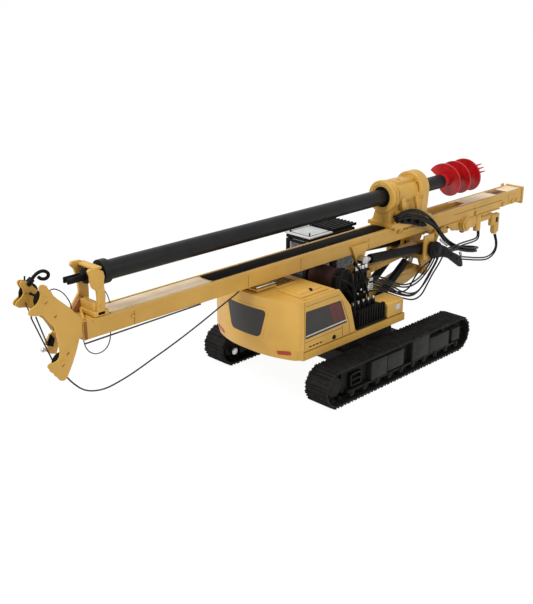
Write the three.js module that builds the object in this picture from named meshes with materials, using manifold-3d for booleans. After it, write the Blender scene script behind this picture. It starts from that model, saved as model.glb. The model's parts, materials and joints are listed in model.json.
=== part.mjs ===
// Rotary piling rig, 1:50 die-cast scale model, mast folded down for transport.
// Millimetres, +Z up, +X towards the auger and mast foot, +Y towards the cab.
// Every piece is described in the rig's own frame, whose origin lies on the ground
// under the slewing centre; the exported group shifts it so that the box is centred.
import * as THREE from 'three';
import { mergeVertices } from 'three/addons/utils/BufferGeometryUtils.js';
import Module from 'manifold-3d';

const wasm = await Module();
wasm.setup();

// ---------------------------------------------------------------- driving sizes
const GAP = 0.3;                 // clearance between separate pieces
const PIN_R = 0.9;               // hinge pins
const PIN_PLAY = 0.3;            // radial play of a pin in its hole
const CYL_PIN_R = 0.8;           // pins of the hydraulic cylinders

// undercarriage
const TRACK_LENGTH = 100.4;
const TRACK_HEIGHT = 16.6;
const TRACK_WIDTH = 11.7;
const TRACK_SPAN = 73;           // over both tracks
const BELT_THICKNESS = 1.9;
const SHOES = 51;
const ROLLER_R = [1.5, 1.4];     // lower and upper track rollers
const FRAME_BOXES = [            // housings outside the track frame: x0, x1, z0, z1
  [-21.5, 0.3, 6, 13.6], [6.5, 17, 5, 14.4], [16.5, 33, 5, 11.4], [-31, -25, 6.5, 12],
];
const SWING_RING_R = 14;
const SWING_RING_HEIGHT = 5.1;
const CAR_BODY_HALF = 16.5;      // half the side of the square hub
const CAR_BODY_ARM = [6, 19];    // cross arms, fore and aft of the centre
const CAR_BODY_Z = [5.8, 12];
const DECK_BOTTOM = 19.9;
const DECK_TOP = 23.3;

// upper carriage
const BODY_WIDTH = 50;
const DECK_FRONT = 14.5;
const HOUSE_REAR = -51;          // seam between house and counterweight
const HOUSE_TOP = 45;
const HOUSE_FRONT = [[-19, 23.3], [-22.8, 36.4], [-30, 45]]; // front outline, from the deck up
const PANEL_THICKNESS = 1.5;
const TAIL_SWING = 59.5;         // rear centre of the counterweight
const TAIL_CORNER = -52.7;
const MAST_REST = [-57, -46];
const TOOL_BOX = [2.2, 13.4];    // along the right edge of the deck
const TOOL_BOX_TOP = 30.5;
const VALVE_BOX_REAR = -17;
const VALVE_BOX_TOP = 31.5;
const SIDE_BOX_INNER = 14;       // inner side of both boxes
const HOSE_COLUMN = [-6, 3];
const HOSE_COLUMN_Y = [11, 13.7];
const HOSE_COLUMN_TOP = 47;

// cab
const CAB_REAR = -10;
const CAB_FRONT = 24;
const CAB_INNER = 10.3;
const CAB_WALL = 1;
const CAB_ROOF = 54.4;
const ROOF_THICKNESS = 1.6;
const SILL = 36;                 // underside of the windows
const DOOR_SILL = 32;            // underside of the door's window
const DOOR_REAR = 6;
const WINDOW_TOP = 51.3;
const CAB_NOSE_Z = [30, 38];     // upright part of the cab's front
const CAB_RAKE = 3;              // how far its roof and floor lie behind the nose
const GLASS_THICKNESS = 0.5;
const SEAT_X = [-3, 0, 8];       // back, front of the backrest, front of the cushion
const SEAT_Z = [5.5, 8, 17];     // cushion and top of the backrest, above the cab floor
const CONSOLE_X = [14, 18];
const CONSOLE_Z = [5.5, 7.5];

// boom linkage, in the X-Z plane
const UPPER_FOOT = [12, 36.6];
const LOWER_FOOT = [12.5, 24.5];
const LINK = [43, 4.3];          // foot pivot to cradle pivot, both arms
const ARM_WIDTH = 4.4;
const BOSS_R = 2;
const BOSS_WIDTH = 7.2;
const CHEEK_THICKNESS = 1.5;     // bracket and cradle plates beside the bosses
const BOOM_CYL_FOOT = [19, 21.6];
const BOOM_CYL_EYE = [43.2, 38.4];
const BOOM_CYL_R = 1.9;
const BOOM_CYL_Y = 4.6;
const BOOM_CYL_BARREL = 26.4;
const BOOM_ROD_R = 1;
const EYE_LUG_R = 1.5;           // lug of the upper arm between the cylinder eyes
const BOOM_CYL_TRAVEL = 14;

// mast linkage
const MAST_PIVOT = [64, 45.5];
const MAST_CYL_FOOT = [51.5, 42.1];
const MAST_CYL_EYE = [5.2, 45.8];
const MAST_CYL_R = 2.1;
const MAST_CYL_Y = 7.8;
const MAST_CYL_BARREL = 41.6;
const MAST_ROD_R = 1.2;
const MAST_CYL_TRAVEL = 18;
const CRADLE_OUTER_Y = [10.2, 11.2]; // plates outside the mast cylinders
const HOSE_DISC = [56.5, 39.5];
const HOSE_DISC_R = 5;
const HOSE_DISC_WIDTH = 2.5;

// mast
const MAST_TOP_END = -139;
const MAST_FOOT_END = 141;
const FOOT_PLATE = 1.5;
const MAST_WIDTH = 9.8;
const RAIL = 0.5;                // how far the guide rails stand out
const MAST_BOTTOM = 48.5;
const MAST_FACE = 55.5;          // the guide face that carries the rotary head
const GROOVE_WIDTH = 5.4;
const GROOVE_START = -80;
const GROOVE_FLOOR = 51;

// drilling gear
const KELLY_Z = 69.3;
const KELLY_R = 3.55;
const KELLY_BORE_R = 2.7;
const KELLY_TOP = -128;
const KELLY_END = 56;
const KELLY_FLANGE_R = 4.4;
const KELLY_SUPPORT = [-134.6, -128.6];
const SWIVEL_R = 2.8;
const SWIVEL_START = -135.5;
const KELLY_INNER_START = -95;
const INNER_KELLY_R = 2.4;
const ROTARY_BORE_R = KELLY_R + GAP;
const ROTARY_R = 5.9;
const ROTARY_RING_R = 6.8;
const ARCH_R = 7.9;
const ARCH_RISE = 0.9;           // centre of the arch above the kelly
const ARCH_X = [4.2, 8.7];       // back from the front of the carriage
const CROWD_R = 1.9;
const CROWD_ROD_R = 1;
const CROWD_BARREL_END = -4;
const CROWD_TRAVEL = 55;
const CARRIAGE = [26, 56];
const SOLE_OVERHANG = 2.2;       // carriage beyond the mast on each side
const CROWD_LUG = [29, 35];      // lug of the carriage that the crowd rod pushes
const CROWD_Z = GROOVE_FLOOR + GAP + CROWD_R;
const AUGER_R = 8.3;
const AUGER_CORE_R = 3;
const AUGER_START = 72.4;
const AUGER_TURNS = 2.7;
const AUGER_PITCH = 8.6;
const AUGER_TWIST = -0.16;       // where the flight starts, in turns from the top
const BLADE_THICKNESS = 0.9;
const AUGER_TIP = 98.6;
const STUB_R = 3.3;              // coupling between kelly and auger

// winches and sheaves
const MAIN_WINCH = [-11, 40];
const MAIN_DRUM_R = 6;
const MAIN_DRUM_Y = [-9.2, 7.2];
const WINCH_PLATE = 1.4;
const AUX_WINCH = [90, 43.6];
const AUX_DRUM_R = 3.2;
const AUX_Y = [-3.2, 3.2];
const AUX_BLOCK_Z = 43.4;        // underside of the block behind the mast pivot
const SHEAVE_R = [3.9, 2.8];     // upper and lower
const SHEAVE_UPPER = [-153, 67];
const SHEAVE_LOWER = [-148.3, 43.5];
const CATHEAD_Y = [4.2, 5.6];    // inner and outer face of each side plate
const CATHEAD_TIP = -159.6;

// ---------------------------------------------------------------- materials
const finish = (color, roughness, metalness, extra = {}) =>
  new THREE.MeshStandardMaterial({ color, roughness, metalness, ...extra });
const yellow = finish(0xb98f45, 0.5, 0);
const black = finish(0x1c1c1e, 0.5, 0);
const darkGrey = finish(0x333437, 0.55, 0.1);
const lightGrey = finish(0xb9b9b4, 0.5, 0);
const red = finish(0xb3201c, 0.45, 0);
const silver = finish(0xc8c8c8, 0.3, 0.9);
const glass = finish(0x2a3033, 0.1, 0, { transparent: true, opacity: 0.4 });
const rope = finish(0x6b4a36, 0.8, 0);
const hose = finish(0x161617, 0.6, 0);

// ---------------------------------------------------------------- solid helpers
function solid(geometry) {
  geometry.deleteAttribute('normal');
  geometry.deleteAttribute('uv');
  const merged = mergeVertices(geometry, 1e-4);
  return new wasm.Manifold(new wasm.Mesh({
    numProp: 3,
    vertProperties: Float32Array.from(merged.attributes.position.array),
    triVerts: Uint32Array.from(merged.index.array),
  }));
}

const join = (...parts) => parts.reduce((a, b) => a.add(b));
const cut = (first, ...rest) => rest.reduce((a, b) => a.subtract(b), first);

function box(x0, x1, y0, y1, z0, z1) {
  const geometry = new THREE.BoxGeometry(x1 - x0, y1 - y0, z1 - z0);
  geometry.translate((x0 + x1) / 2, (y0 + y1) / 2, (z0 + z1) / 2);
  return solid(geometry);
}

// An outline given as [a, b] pairs, extruded between two levels of the third axis.
function extrude(outline, depth, holes = []) {
  const shape = new THREE.Shape(outline.map(([a, b]) => new THREE.Vector2(a, b)));
  for (const hole of holes) {
    shape.holes.push(new THREE.Path(hole.map(([a, b]) => new THREE.Vector2(a, b))));
  }
  return new THREE.ExtrudeGeometry(shape, { depth, bevelEnabled: false });
}

function plateXZ(outline, y0, y1, holes = []) {
  const geometry = extrude(outline, y1 - y0, holes);
  geometry.rotateX(Math.PI / 2);
  geometry.translate(0, y1, 0);
  return solid(geometry);
}

function plateXY(outline, z0, z1) {
  const geometry = extrude(outline, z1 - z0);
  geometry.translate(0, 0, z0);
  return solid(geometry);
}

function plateYZ(outline, x0, x1) {
  const geometry = extrude(outline, x1 - x0);
  const turn = new THREE.Matrix4().makeBasis(
    new THREE.Vector3(0, 1, 0), new THREE.Vector3(0, 0, 1), new THREE.Vector3(1, 0, 0));
  geometry.applyMatrix4(turn);
  geometry.translate(x0, 0, 0);
  return solid(geometry);
}

// A body of revolution: profile of [radius, distance] pairs along the line from a
// towards b, starting and ending on the axis or closed on itself.
function turned(profile, from, towards, segments = 20) {
  const points = profile.map(([r, d]) => new THREE.Vector2(r, d));
  const geometry = new THREE.LatheGeometry(points, segments);
  const start = new THREE.Vector3(...from);
  const direction = new THREE.Vector3(...towards).sub(start).normalize();
  const turn = new THREE.Quaternion().setFromUnitVectors(new THREE.Vector3(0, 1, 0), direction);
  geometry.applyQuaternion(turn);
  geometry.translate(...from);
  return solid(geometry);
}

function rod(from, to, radius, segments = 16) {
  const length = new THREE.Vector3(...from).distanceTo(new THREE.Vector3(...to));
  return turned([[0, 0], [radius, 0], [radius, length], [0, length]], from, to, segments);
}

const rodX = (x0, x1, y, z, radius, segments) => rod([x0, y, z], [x1, y, z], radius, segments);
const rodY = ([x, z], y0, y1, radius, segments) => rod([x, y0, z], [x, y1, z], radius, segments);
const rodZ = (x, y, z0, z1, radius, segments) => rod([x, y, z0], [x, y, z1], radius, segments);

const mirrorY = (body) => body.mirror([0, 1, 0]);
const bothSides = (body) => join(body, mirrorY(body));
const onSide = (body, side) => (side > 0 ? body : mirrorY(body));

// Points of an arc in a plane, from one angle to another, in degrees.
function arc([a, b], radius, fromDeg, toDeg, steps) {
  const points = [];
  for (let i = 0; i <= steps; i += 1) {
    const t = THREE.MathUtils.degToRad(fromDeg + ((toDeg - fromDeg) * i) / steps);
    points.push([a + radius * Math.cos(t), b + radius * Math.sin(t)]);
  }
  return points;
}

// The point that lies the given distance along the line from a towards b.
function along([ax, az], [bx, bz], distance) {
  const length = Math.hypot(bx - ax, bz - az);
  return [ax + ((bx - ax) * distance) / length, az + ((bz - az) * distance) / length];
}

const plus = ([ax, az], [bx, bz]) => [ax + bx, az + bz];
const length2 = ([ax, az], [bx, bz]) => Math.hypot(bx - ax, bz - az);

// ---------------------------------------------------------------- scene tree
function body(parent, x, y, z) {
  const group = new THREE.Group();
  group.userData.pivot = new THREE.Vector3(x, y, z);
  group.position.copy(group.userData.pivot).sub(parent.userData.pivot);
  parent.add(group);
  return group;
}

function piece(parent, name, shape, material) {
  const { numProp, vertProperties, triVerts } = shape.getMesh();
  const positions = new Float32Array((vertProperties.length / numProp) * 3);
  for (let i = 0; i < positions.length / 3; i += 1) {
    for (let k = 0; k < 3; k += 1) positions[3 * i + k] = vertProperties[numProp * i + k];
  }
  const geometry = new THREE.BufferGeometry();
  geometry.setAttribute('position', new THREE.BufferAttribute(positions, 3));
  geometry.setIndex(new THREE.BufferAttribute(Uint32Array.from(triVerts), 1));
  const pivot = parent.userData.pivot;
  geometry.translate(-pivot.x, -pivot.y, -pivot.z);
  geometry.computeVertexNormals();
  const mesh = new THREE.Mesh(geometry, material);
  mesh.name = name;
  parent.add(mesh);
  return mesh;
}

// ---------------------------------------------------------------- undercarriage
const TRACK_R = TRACK_HEIGHT / 2;
const WHEEL_X = TRACK_LENGTH / 2 - TRACK_R;
const TRACK_Y = [TRACK_SPAN / 2 - TRACK_WIDTH, TRACK_SPAN / 2];
const FRAME_Y = [TRACK_Y[0] + 1.2, TRACK_Y[1] - 1.2];
const INNER_R = TRACK_R - BELT_THICKNESS;
const WHEEL_R = INNER_R - GAP;

// A point on the belt's loop: distance run along its outer face, depth below that face.
function beltPoint(distance, depth) {
  const straight = 2 * WHEEL_X;
  const half = straight + Math.PI * TRACK_R;
  const side = distance < half ? 1 : -1;
  const run = distance < half ? distance : distance - half;
  const radius = TRACK_R - depth;
  if (run < straight) return [side * (-WHEEL_X + run), TRACK_R - side * radius];
  const angle = (run - straight) / TRACK_R - Math.PI / 2;
  return [side * (WHEEL_X + radius * Math.cos(angle)), TRACK_R + side * radius * Math.sin(angle)];
}

function trackBelt() {
  const loop = 4 * WHEEL_X + 2 * Math.PI * TRACK_R;
  const pitch = loop / SHOES;
  const outline = [];
  for (let i = 0; i < SHOES; i += 1) {
    outline.push(beltPoint(i * pitch, 0.7));
    outline.push(beltPoint((i + 0.12) * pitch, 0));
    outline.push(beltPoint((i + 0.88) * pitch, 0));
  }
  const hole = [
    ...arc([WHEEL_X, TRACK_R], INNER_R, -90, 90, 12),
    ...arc([-WHEEL_X, TRACK_R], INNER_R, 90, 270, 12),
  ];
  return plateXZ(outline, TRACK_Y[0], TRACK_Y[1], [hole.reverse()]);
}

const BEAM_END = WHEEL_X - WHEEL_R - 2.2;
const BEAM_Z = [4.8, 12.2];
const CHEEK_IN = [FRAME_Y[0], FRAME_Y[0] + 1.2];
const CHEEK_OUT = [FRAME_Y[1] - 1.2, FRAME_Y[1]];

function trackFrame() {
  let frame = box(-BEAM_END, BEAM_END, FRAME_Y[0], FRAME_Y[1], BEAM_Z[0], BEAM_Z[1]);
  for (const end of [-1, 1]) {
    for (const [y0, y1] of [CHEEK_IN, CHEEK_OUT]) {
      const x0 = end > 0 ? BEAM_END - 1 : -WHEEL_X - 2.5;
      const x1 = end > 0 ? WHEEL_X + 2.5 : -BEAM_END + 1;
      frame = join(frame, box(x0, x1, y0, y1, TRACK_R - 2.6, TRACK_R + 2.6));
    }
  }
  const [lowerR, upperR] = ROLLER_R;
  for (let i = -3; i <= 3; i += 1) {
    const at = [i * (BEAM_END / 3.6), BELT_THICKNESS + GAP + lowerR];
    frame = join(frame, rodY(at, FRAME_Y[0] + 1.5, FRAME_Y[1] - 1.2, lowerR, 12));
  }
  for (const x of [-14, 14]) {
    const at = [x, TRACK_HEIGHT - BELT_THICKNESS - GAP - upperR];
    frame = join(frame, rodY(at, FRAME_Y[0] + 2, FRAME_Y[1] - 2, upperR, 12));
  }
  const housings = FRAME_BOXES.map(([x0, x1, z0, z1]) =>
    box(x0, x1, FRAME_Y[1] - 3, TRACK_Y[1] - GAP, z0, z1));
  return join(frame, ...housings);
}

function sprocket() {
  const teeth = 16;
  const outline = [];
  for (let i = 0; i < teeth; i += 1) {
    const step = 360 / teeth;
    outline.push(...arc([-WHEEL_X, TRACK_R], WHEEL_R, i * step, (i + 0.35) * step, 1));
    outline.push(...arc([-WHEEL_X, TRACK_R], WHEEL_R - 0.9, (i + 0.5) * step, (i + 0.85) * step, 1));
  }
  const rim = plateXZ(outline, CHEEK_IN[1] + 1.6, CHEEK_OUT[0] - 1.6);
  return join(rim, rodY([-WHEEL_X, TRACK_R], CHEEK_IN[1] + GAP, CHEEK_OUT[0] - GAP, 4.2, 20));
}

function idler() {
  const rim = rodY([WHEEL_X, TRACK_R], CHEEK_IN[1] + 1.2, CHEEK_OUT[0] - 1.2, WHEEL_R, 28);
  return join(rim, rodY([WHEEL_X, TRACK_R], CHEEK_IN[1] + GAP, CHEEK_OUT[0] - GAP, 3.2, 20));
}

function carBody() {
  const reach = FRAME_Y[0] - GAP;
  const [arm0, arm1] = CAR_BODY_ARM;
  const top = DECK_BOTTOM - GAP - SWING_RING_HEIGHT - GAP;
  const hub = box(-CAR_BODY_HALF, CAR_BODY_HALF, -CAR_BODY_HALF, CAR_BODY_HALF, 5.5, top);
  return join(hub,
    box(arm0, arm1, -reach, reach, CAR_BODY_Z[0], CAR_BODY_Z[1]),
    box(-arm1, -arm0, -reach, reach, CAR_BODY_Z[0], CAR_BODY_Z[1]));
}

// ---------------------------------------------------------------- upper carriage
const CHEEK_Y = [BOSS_WIDTH / 2 + GAP, BOSS_WIDTH / 2 + GAP + CHEEK_THICKNESS];
const UPPER_HEAD = plus(UPPER_FOOT, LINK);
const LOWER_HEAD = plus(LOWER_FOOT, LINK);
const CYL_LUG_Y = [BOOM_CYL_Y + BOOM_CYL_R + GAP, BOOM_CYL_Y + BOOM_CYL_R + GAP + 1.1];

const pinHole = (at, y0, y1) => rodY(at, y0, y1, PIN_R + PIN_PLAY, 16);

function mainDeck() {
  const half = BODY_WIDTH / 2;
  const noseEnd = BOOM_CYL_FOOT[0] + 2;
  const noseTop = BOOM_CYL_FOOT[1] + 1;
  const slab = box(HOUSE_REAR + GAP, DECK_FRONT, -half, half, DECK_BOTTOM, DECK_TOP);
  const nose = box(DECK_FRONT - 1, noseEnd, -CYL_LUG_Y[1], CYL_LUG_Y[1], DECK_BOTTOM, noseTop - 2);
  const core = box(DECK_FRONT - 1, noseEnd, -ARM_WIDTH / 2, ARM_WIDTH / 2, DECK_BOTTOM, noseTop);
  const lug = plateXZ([
    [DECK_FRONT - 3, DECK_BOTTOM], [noseEnd, DECK_BOTTOM], [noseEnd, noseTop],
    [BOOM_CYL_FOOT[0] - 1, noseTop + 1.4], [DECK_FRONT - 3, noseTop + 1.4],
  ], CYL_LUG_Y[0], CYL_LUG_Y[1]);
  const footX = LOWER_FOOT[0] + 2.6;
  const bracket = plateXZ([
    [-4, DECK_TOP - 1], [footX, DECK_TOP - 1], [footX, LOWER_FOOT[1] + 1.5],
    [UPPER_FOOT[0] + 2.4, UPPER_FOOT[1] - 1], ...arc(UPPER_FOOT, 2.4, 0, 135, 6),
    [0, DECK_TOP + 4.7], [-4, DECK_TOP + 3.7],
  ], CHEEK_Y[0], CHEEK_Y[1]);
  const footWell = box(LOWER_FOOT[0] - 4, DECK_FRONT + 1, -CHEEK_Y[0], CHEEK_Y[0],
    DECK_BOTTOM + 1.6, DECK_TOP + 1);
  const cylinderWell = bothSides(box(DECK_FRONT - 3, noseEnd + 1, ARM_WIDTH / 2, CYL_LUG_Y[0],
    DECK_BOTTOM - 1, DECK_TOP + 1));
  const platform = cut(join(slab, nose, core, bothSides(lug)), footWell, cylinderWell);
  const wide = CHEEK_Y[1] + 1;
  const cylinderPin = rodY(BOOM_CYL_FOOT, -CYL_LUG_Y[1] - 1, CYL_LUG_Y[1] + 1,
    CYL_PIN_R + PIN_PLAY, 16);
  return cut(join(platform, bothSides(bracket)), pinHole(UPPER_FOOT, -wide, wide),
    pinHole(LOWER_FOOT, -wide, wide), cylinderPin);
}

function counterweight() {
  const half = BODY_WIDTH / 2;
  const sagitta = TAIL_SWING + TAIL_CORNER;
  const radius = (half * half + sagitta * sagitta) / (2 * sagitta);
  const spread = THREE.MathUtils.radToDeg(Math.asin(half / radius));
  const tail = arc([-TAIL_SWING + radius, 0], radius, 180 - spread, 180 + spread, 16);
  return plateXY([[HOUSE_REAR, half], ...tail, [HOUSE_REAR, -half]], DECK_BOTTOM, HOUSE_TOP);
}

function engineHood() {
  const half = BODY_WIDTH / 2 - PANEL_THICKNESS - GAP;
  const rear = HOUSE_REAR + GAP;
  const [foot, knee, top] = HOUSE_FRONT.map(([x, z]) => [x - 2 * GAP, z]);
  return plateXZ([
    [rear, DECK_TOP + GAP], [foot[0], foot[1] + GAP], knee, top, [rear, HOUSE_TOP],
  ], -half, half);
}

function sidePanel() {
  const half = BODY_WIDTH / 2;
  const rear = HOUSE_REAR + GAP;
  const [foot, knee, top] = HOUSE_FRONT;
  return plateXZ([
    [rear, DECK_TOP + GAP], [foot[0], foot[1] + GAP], knee, top, [rear, HOUSE_TOP],
  ], half - PANEL_THICKNESS, half);
}

function mastRest() {
  const [x0, x1] = MAST_REST;
  const base = box(x0, x1, -4.6, 4.6, HOUSE_TOP + GAP, HOUSE_TOP + 1.3);
  const post = box(x0 + 2.5, x1 - 2.5, -3.4, 3.4, HOUSE_TOP + 1, MAST_BOTTOM - GAP);
  return join(base, post);
}

function toolBox() {
  return box(TOOL_BOX[0], TOOL_BOX[1], -BODY_WIDTH / 2, -SIDE_BOX_INNER, DECK_TOP + GAP, TOOL_BOX_TOP);
}

function valveBox() {
  return box(VALVE_BOX_REAR, TOOL_BOX[0] - GAP, 0.4 - BODY_WIDTH / 2, -SIDE_BOX_INNER,
    DECK_TOP + GAP, VALVE_BOX_TOP);
}

function hoseColumn() {
  return box(HOSE_COLUMN[0], HOSE_COLUMN[1], -HOSE_COLUMN_Y[1], -HOSE_COLUMN_Y[0],
    DECK_TOP + GAP, HOSE_COLUMN_TOP);
}

function winchFrame() {
  const [x, z] = MAIN_WINCH;
  const right = [MAIN_DRUM_Y[0] - GAP - WINCH_PLATE, MAIN_DRUM_Y[0] - GAP];
  const left = [MAIN_DRUM_Y[1] + GAP, MAIN_DRUM_Y[1] + GAP + WINCH_PLATE];
  const side = ([y0, y1]) => plateXZ([
    [x - 6.5, DECK_TOP + GAP], [x + 6.5, DECK_TOP + GAP], [x + 5, z + 2],
    [x + 2.5, z + 4], [x - 2.5, z + 4], [x - 5, z + 2],
  ], y0, y1);
  const base = box(x - 6.5, x + 6.5, right[0], left[1], DECK_TOP + GAP, DECK_TOP + 4);
  return cut(join(base, side(right), side(left)), pinHole(MAIN_WINCH, right[0] - 1, left[1] + 1));
}

function mainDrum() {
  const [y0, y1] = MAIN_DRUM_Y;
  const reach = GAP + WINCH_PLATE;
  return join(
    rodY(MAIN_WINCH, y0, y1, MAIN_DRUM_R - 2.2, 24),
    rodY(MAIN_WINCH, y0, y0 + 1, MAIN_DRUM_R, 24),
    rodY(MAIN_WINCH, y1 - 1, y1, MAIN_DRUM_R, 24),
    rodY(MAIN_WINCH, y0 - reach, y1 + reach, PIN_R, 12),
  );
}

// ---------------------------------------------------------------- cab
const CAB_SIDE = BODY_WIDTH / 2;
const CAB_FLOOR = DECK_TOP + GAP;
const CAB_EAVE = CAB_ROOF - ROOF_THICKNESS - GAP;

function cabShell() {
  const t = CAB_WALL;
  const [low, high] = CAB_NOSE_Z;
  const top = CAB_FRONT - CAB_RAKE;
  const outer = plateXZ([
    [CAB_REAR, CAB_FLOOR], [top, CAB_FLOOR], [CAB_FRONT, low], [CAB_FRONT, high],
    [top, CAB_EAVE], [CAB_REAR, CAB_EAVE],
  ], CAB_INNER, CAB_SIDE);
  const inner = plateXZ([
    [CAB_REAR + t, CAB_FLOOR + t], [top - 0.5, CAB_FLOOR + t], [CAB_FRONT - t, low + 0.4],
    [CAB_FRONT - t, high], [top - t, CAB_EAVE + 1], [CAB_REAR + t, CAB_EAVE + 1],
  ], CAB_INNER + t, CAB_SIDE - t);
  const doorWindow = plateXZ([
    [DOOR_REAR, DOOR_SILL], [top - 0.5, DOOR_SILL], [CAB_FRONT - 2.6, high],
    [CAB_FRONT - 5, WINDOW_TOP], [DOOR_REAR, WINDOW_TOP],
  ], CAB_INNER - 1, CAB_SIDE + 1);
  const sideWindow = box(CAB_REAR + 2, DOOR_REAR - 1.6, CAB_INNER - 1, CAB_SIDE + 1,
    SILL, WINDOW_TOP);
  const rearWindow = box(CAB_REAR - 1, CAB_REAR + 3, CAB_INNER + 1.8, CAB_SIDE - 1.8,
    SILL, WINDOW_TOP);
  const frontWindow = box(CAB_FRONT - 8, CAB_FRONT + 1, CAB_INNER + 1.6, CAB_SIDE - 1.6,
    low + 1, WINDOW_TOP);
  return cut(outer, inner, doorWindow, sideWindow, rearWindow, frontWindow);
}

function cabGlazing() {
  const inset = CAB_WALL + GAP;
  const x0 = CAB_REAR + inset;
  const x1 = CAB_FRONT - inset;
  const [low, high] = CAB_NOSE_Z;
  const outline = (thick, z0, z1) => [
    [x0 + thick, z0], [x1 - thick - 0.2, z0], [x1 - thick, z0 + 1], [x1 - thick, high - 0.4],
    [x1 - CAB_RAKE + 0.1 - thick, z1], [x0 + thick, z1],
  ];
  const t = GLASS_THICKNESS;
  const outer = plateXZ(outline(0, low + 0.8, CAB_EAVE - 0.4), CAB_INNER + inset, CAB_SIDE - inset);
  const inner = plateXZ(outline(t, low - 1, CAB_EAVE + 1), CAB_INNER + inset + t,
    CAB_SIDE - inset - t);
  return cut(outer, inner);
}

function cabRoof() {
  return box(CAB_REAR, CAB_FRONT - CAB_RAKE, CAB_INNER, CAB_SIDE,
    CAB_ROOF - ROOF_THICKNESS, CAB_ROOF);
}

function roofHatch() {
  return box(CAB_REAR + 1, 5, CAB_INNER + 1, CAB_SIDE - 1, CAB_ROOF + GAP, CAB_ROOF + GAP + 0.8);
}

function roofGuard() {
  const bars = [];
  for (let i = 0; i < 7; i += 1) {
    const y = CAB_INNER + 1 + i * 2.05;
    bars.push(box(6, CAB_FRONT - 1, y, y + 0.8, CAB_ROOF + GAP, CAB_ROOF + GAP + 1.2));
  }
  const ties = [6, 14, CAB_FRONT - 2].map((x) =>
    box(x, x + 1, CAB_INNER + 1, CAB_SIDE - 1, CAB_ROOF + GAP, CAB_ROOF + GAP + 0.8));
  return join(...bars, ...ties);
}

function seat() {
  const y0 = CAB_INNER + 4;
  const y1 = CAB_SIDE - 4;
  const floor = CAB_FLOOR + CAB_WALL + GAP;
  const [back, rest, front] = SEAT_X;
  const [low, high, top] = SEAT_Z;
  return join(
    box(rest, front - 1, y0 + 1, y1 - 1, floor, floor + low + 0.5),
    box(rest - 1, front, y0, y1, floor + low, floor + high),
    box(back, rest, y0, y1, floor + low + 0.5, floor + top),
  );
}

function console() {
  const floor = CAB_FLOOR + CAB_WALL + GAP;
  const [x0, x1] = CONSOLE_X;
  const [low, high] = CONSOLE_Z;
  return join(
    box(x0 + 1, x1 - 1, CAB_INNER + 5, CAB_SIDE - 5, floor, floor + low + 0.5),
    box(x0, x1, CAB_INNER + 3.5, CAB_SIDE - 3.5, floor + low, floor + high),
  );
}

// ---------------------------------------------------------------- boom linkage
function armPins(foot, head) {
  const reach = CHEEK_Y[1];
  return [foot, head].map((at) => join(
    rodY(at, -BOSS_WIDTH / 2, BOSS_WIDTH / 2, BOSS_R, 20),
    rodY(at, -reach, reach, PIN_R, 14),
  ));
}

function upperArm() {
  const [fx, fz] = UPPER_FOOT;
  const [hx, hz] = UPPER_HEAD;
  const beam = plateXZ([
    [fx, fz - 1.6], [hx, hz - 1.6], [hx, hz + 1.6], [fx + 20, fz + 4], [fx, fz + 1.6],
  ], -ARM_WIDTH / 2, ARM_WIDTH / 2);
  const [ex, ez] = BOOM_CYL_EYE;
  const lug = plateXZ([
    [ex - 5, ez + 1.8], ...arc(BOOM_CYL_EYE, EYE_LUG_R, 200, 340, 6), [ex + 5, ez + 2.2],
  ], -ARM_WIDTH / 2, ARM_WIDTH / 2);
  return join(beam, lug, ...armPins(UPPER_FOOT, UPPER_HEAD));
}

function lowerArm() {
  const [fx, fz] = LOWER_FOOT;
  const [hx, hz] = LOWER_HEAD;
  const beam = plateXZ([
    [fx, fz - 1.2], [fx + 20, fz - 1.4], [hx - 9, hz - 4.4], [hx - 1, hz - 2],
    [hx, hz + 1.6], [hx - 4, hz + 2.4], [hx - 14, hz + 1.6], [fx + 22, fz + 4.4], [fx, fz + 1.4],
  ], -ARM_WIDTH / 2, ARM_WIDTH / 2);
  return join(beam, ...armPins(LOWER_FOOT, LOWER_HEAD));
}

// A cylinder barrel from its foot pin towards its eye, open at the rod end.
function barrel(foot, eye, y, radius, length, rodRadius, pinY) {
  const at = (distance) => {
    const [x, z] = along(foot, eye, distance);
    return [x, y, z];
  };
  const start = 1.2;
  const bore = rodRadius + 0.35;
  const profile = [
    [0, 0], [radius, 0], [radius, length - start], [bore, length - start], [bore, 2.2], [0, 2.2],
  ];
  return join(
    turned(profile, at(start), at(length), 20),
    rodY(foot, y - radius + 0.2, y + radius - 0.2, 1.9, 16),
    rodY(foot, pinY[0], pinY[1], CYL_PIN_R, 12),
  );
}

// A rod that slides in the barrel and carries an eye at its far end.
function pistonRod(foot, eye, y, rodRadius, barrelLength, travel, eyeHalf, eyeR) {
  const start = Math.max(4.2, barrelLength - travel - 5);
  const at = (distance) => {
    const [x, z] = along(foot, eye, distance);
    return [x, y, z];
  };
  return join(
    rod(at(start), at(length2(foot, eye)), rodRadius, 14),
    rodY(eye, y - eyeHalf, y + eyeHalf, eyeR, 20),
  );
}

const boomBarrel = () => barrel(BOOM_CYL_FOOT, BOOM_CYL_EYE, BOOM_CYL_Y, BOOM_CYL_R,
  BOOM_CYL_BARREL, BOOM_ROD_R, [ARM_WIDTH / 2 + GAP, CYL_LUG_Y[1]]);
const boomRod = () => pistonRod(BOOM_CYL_FOOT, BOOM_CYL_EYE, BOOM_CYL_Y, BOOM_ROD_R,
  BOOM_CYL_BARREL, BOOM_CYL_TRAVEL, BOOM_CYL_R - 0.15, 1.6);
const mastBarrel = () => barrel(MAST_CYL_FOOT, MAST_CYL_EYE, MAST_CYL_Y, MAST_CYL_R,
  MAST_CYL_BARREL, MAST_ROD_R, [CHEEK_Y[0], CRADLE_OUTER_Y[1]]);
const mastRod = () => pistonRod(MAST_CYL_FOOT, MAST_CYL_EYE, MAST_CYL_Y, MAST_ROD_R,
  MAST_CYL_BARREL, MAST_CYL_TRAVEL, 1.4, 2);

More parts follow.
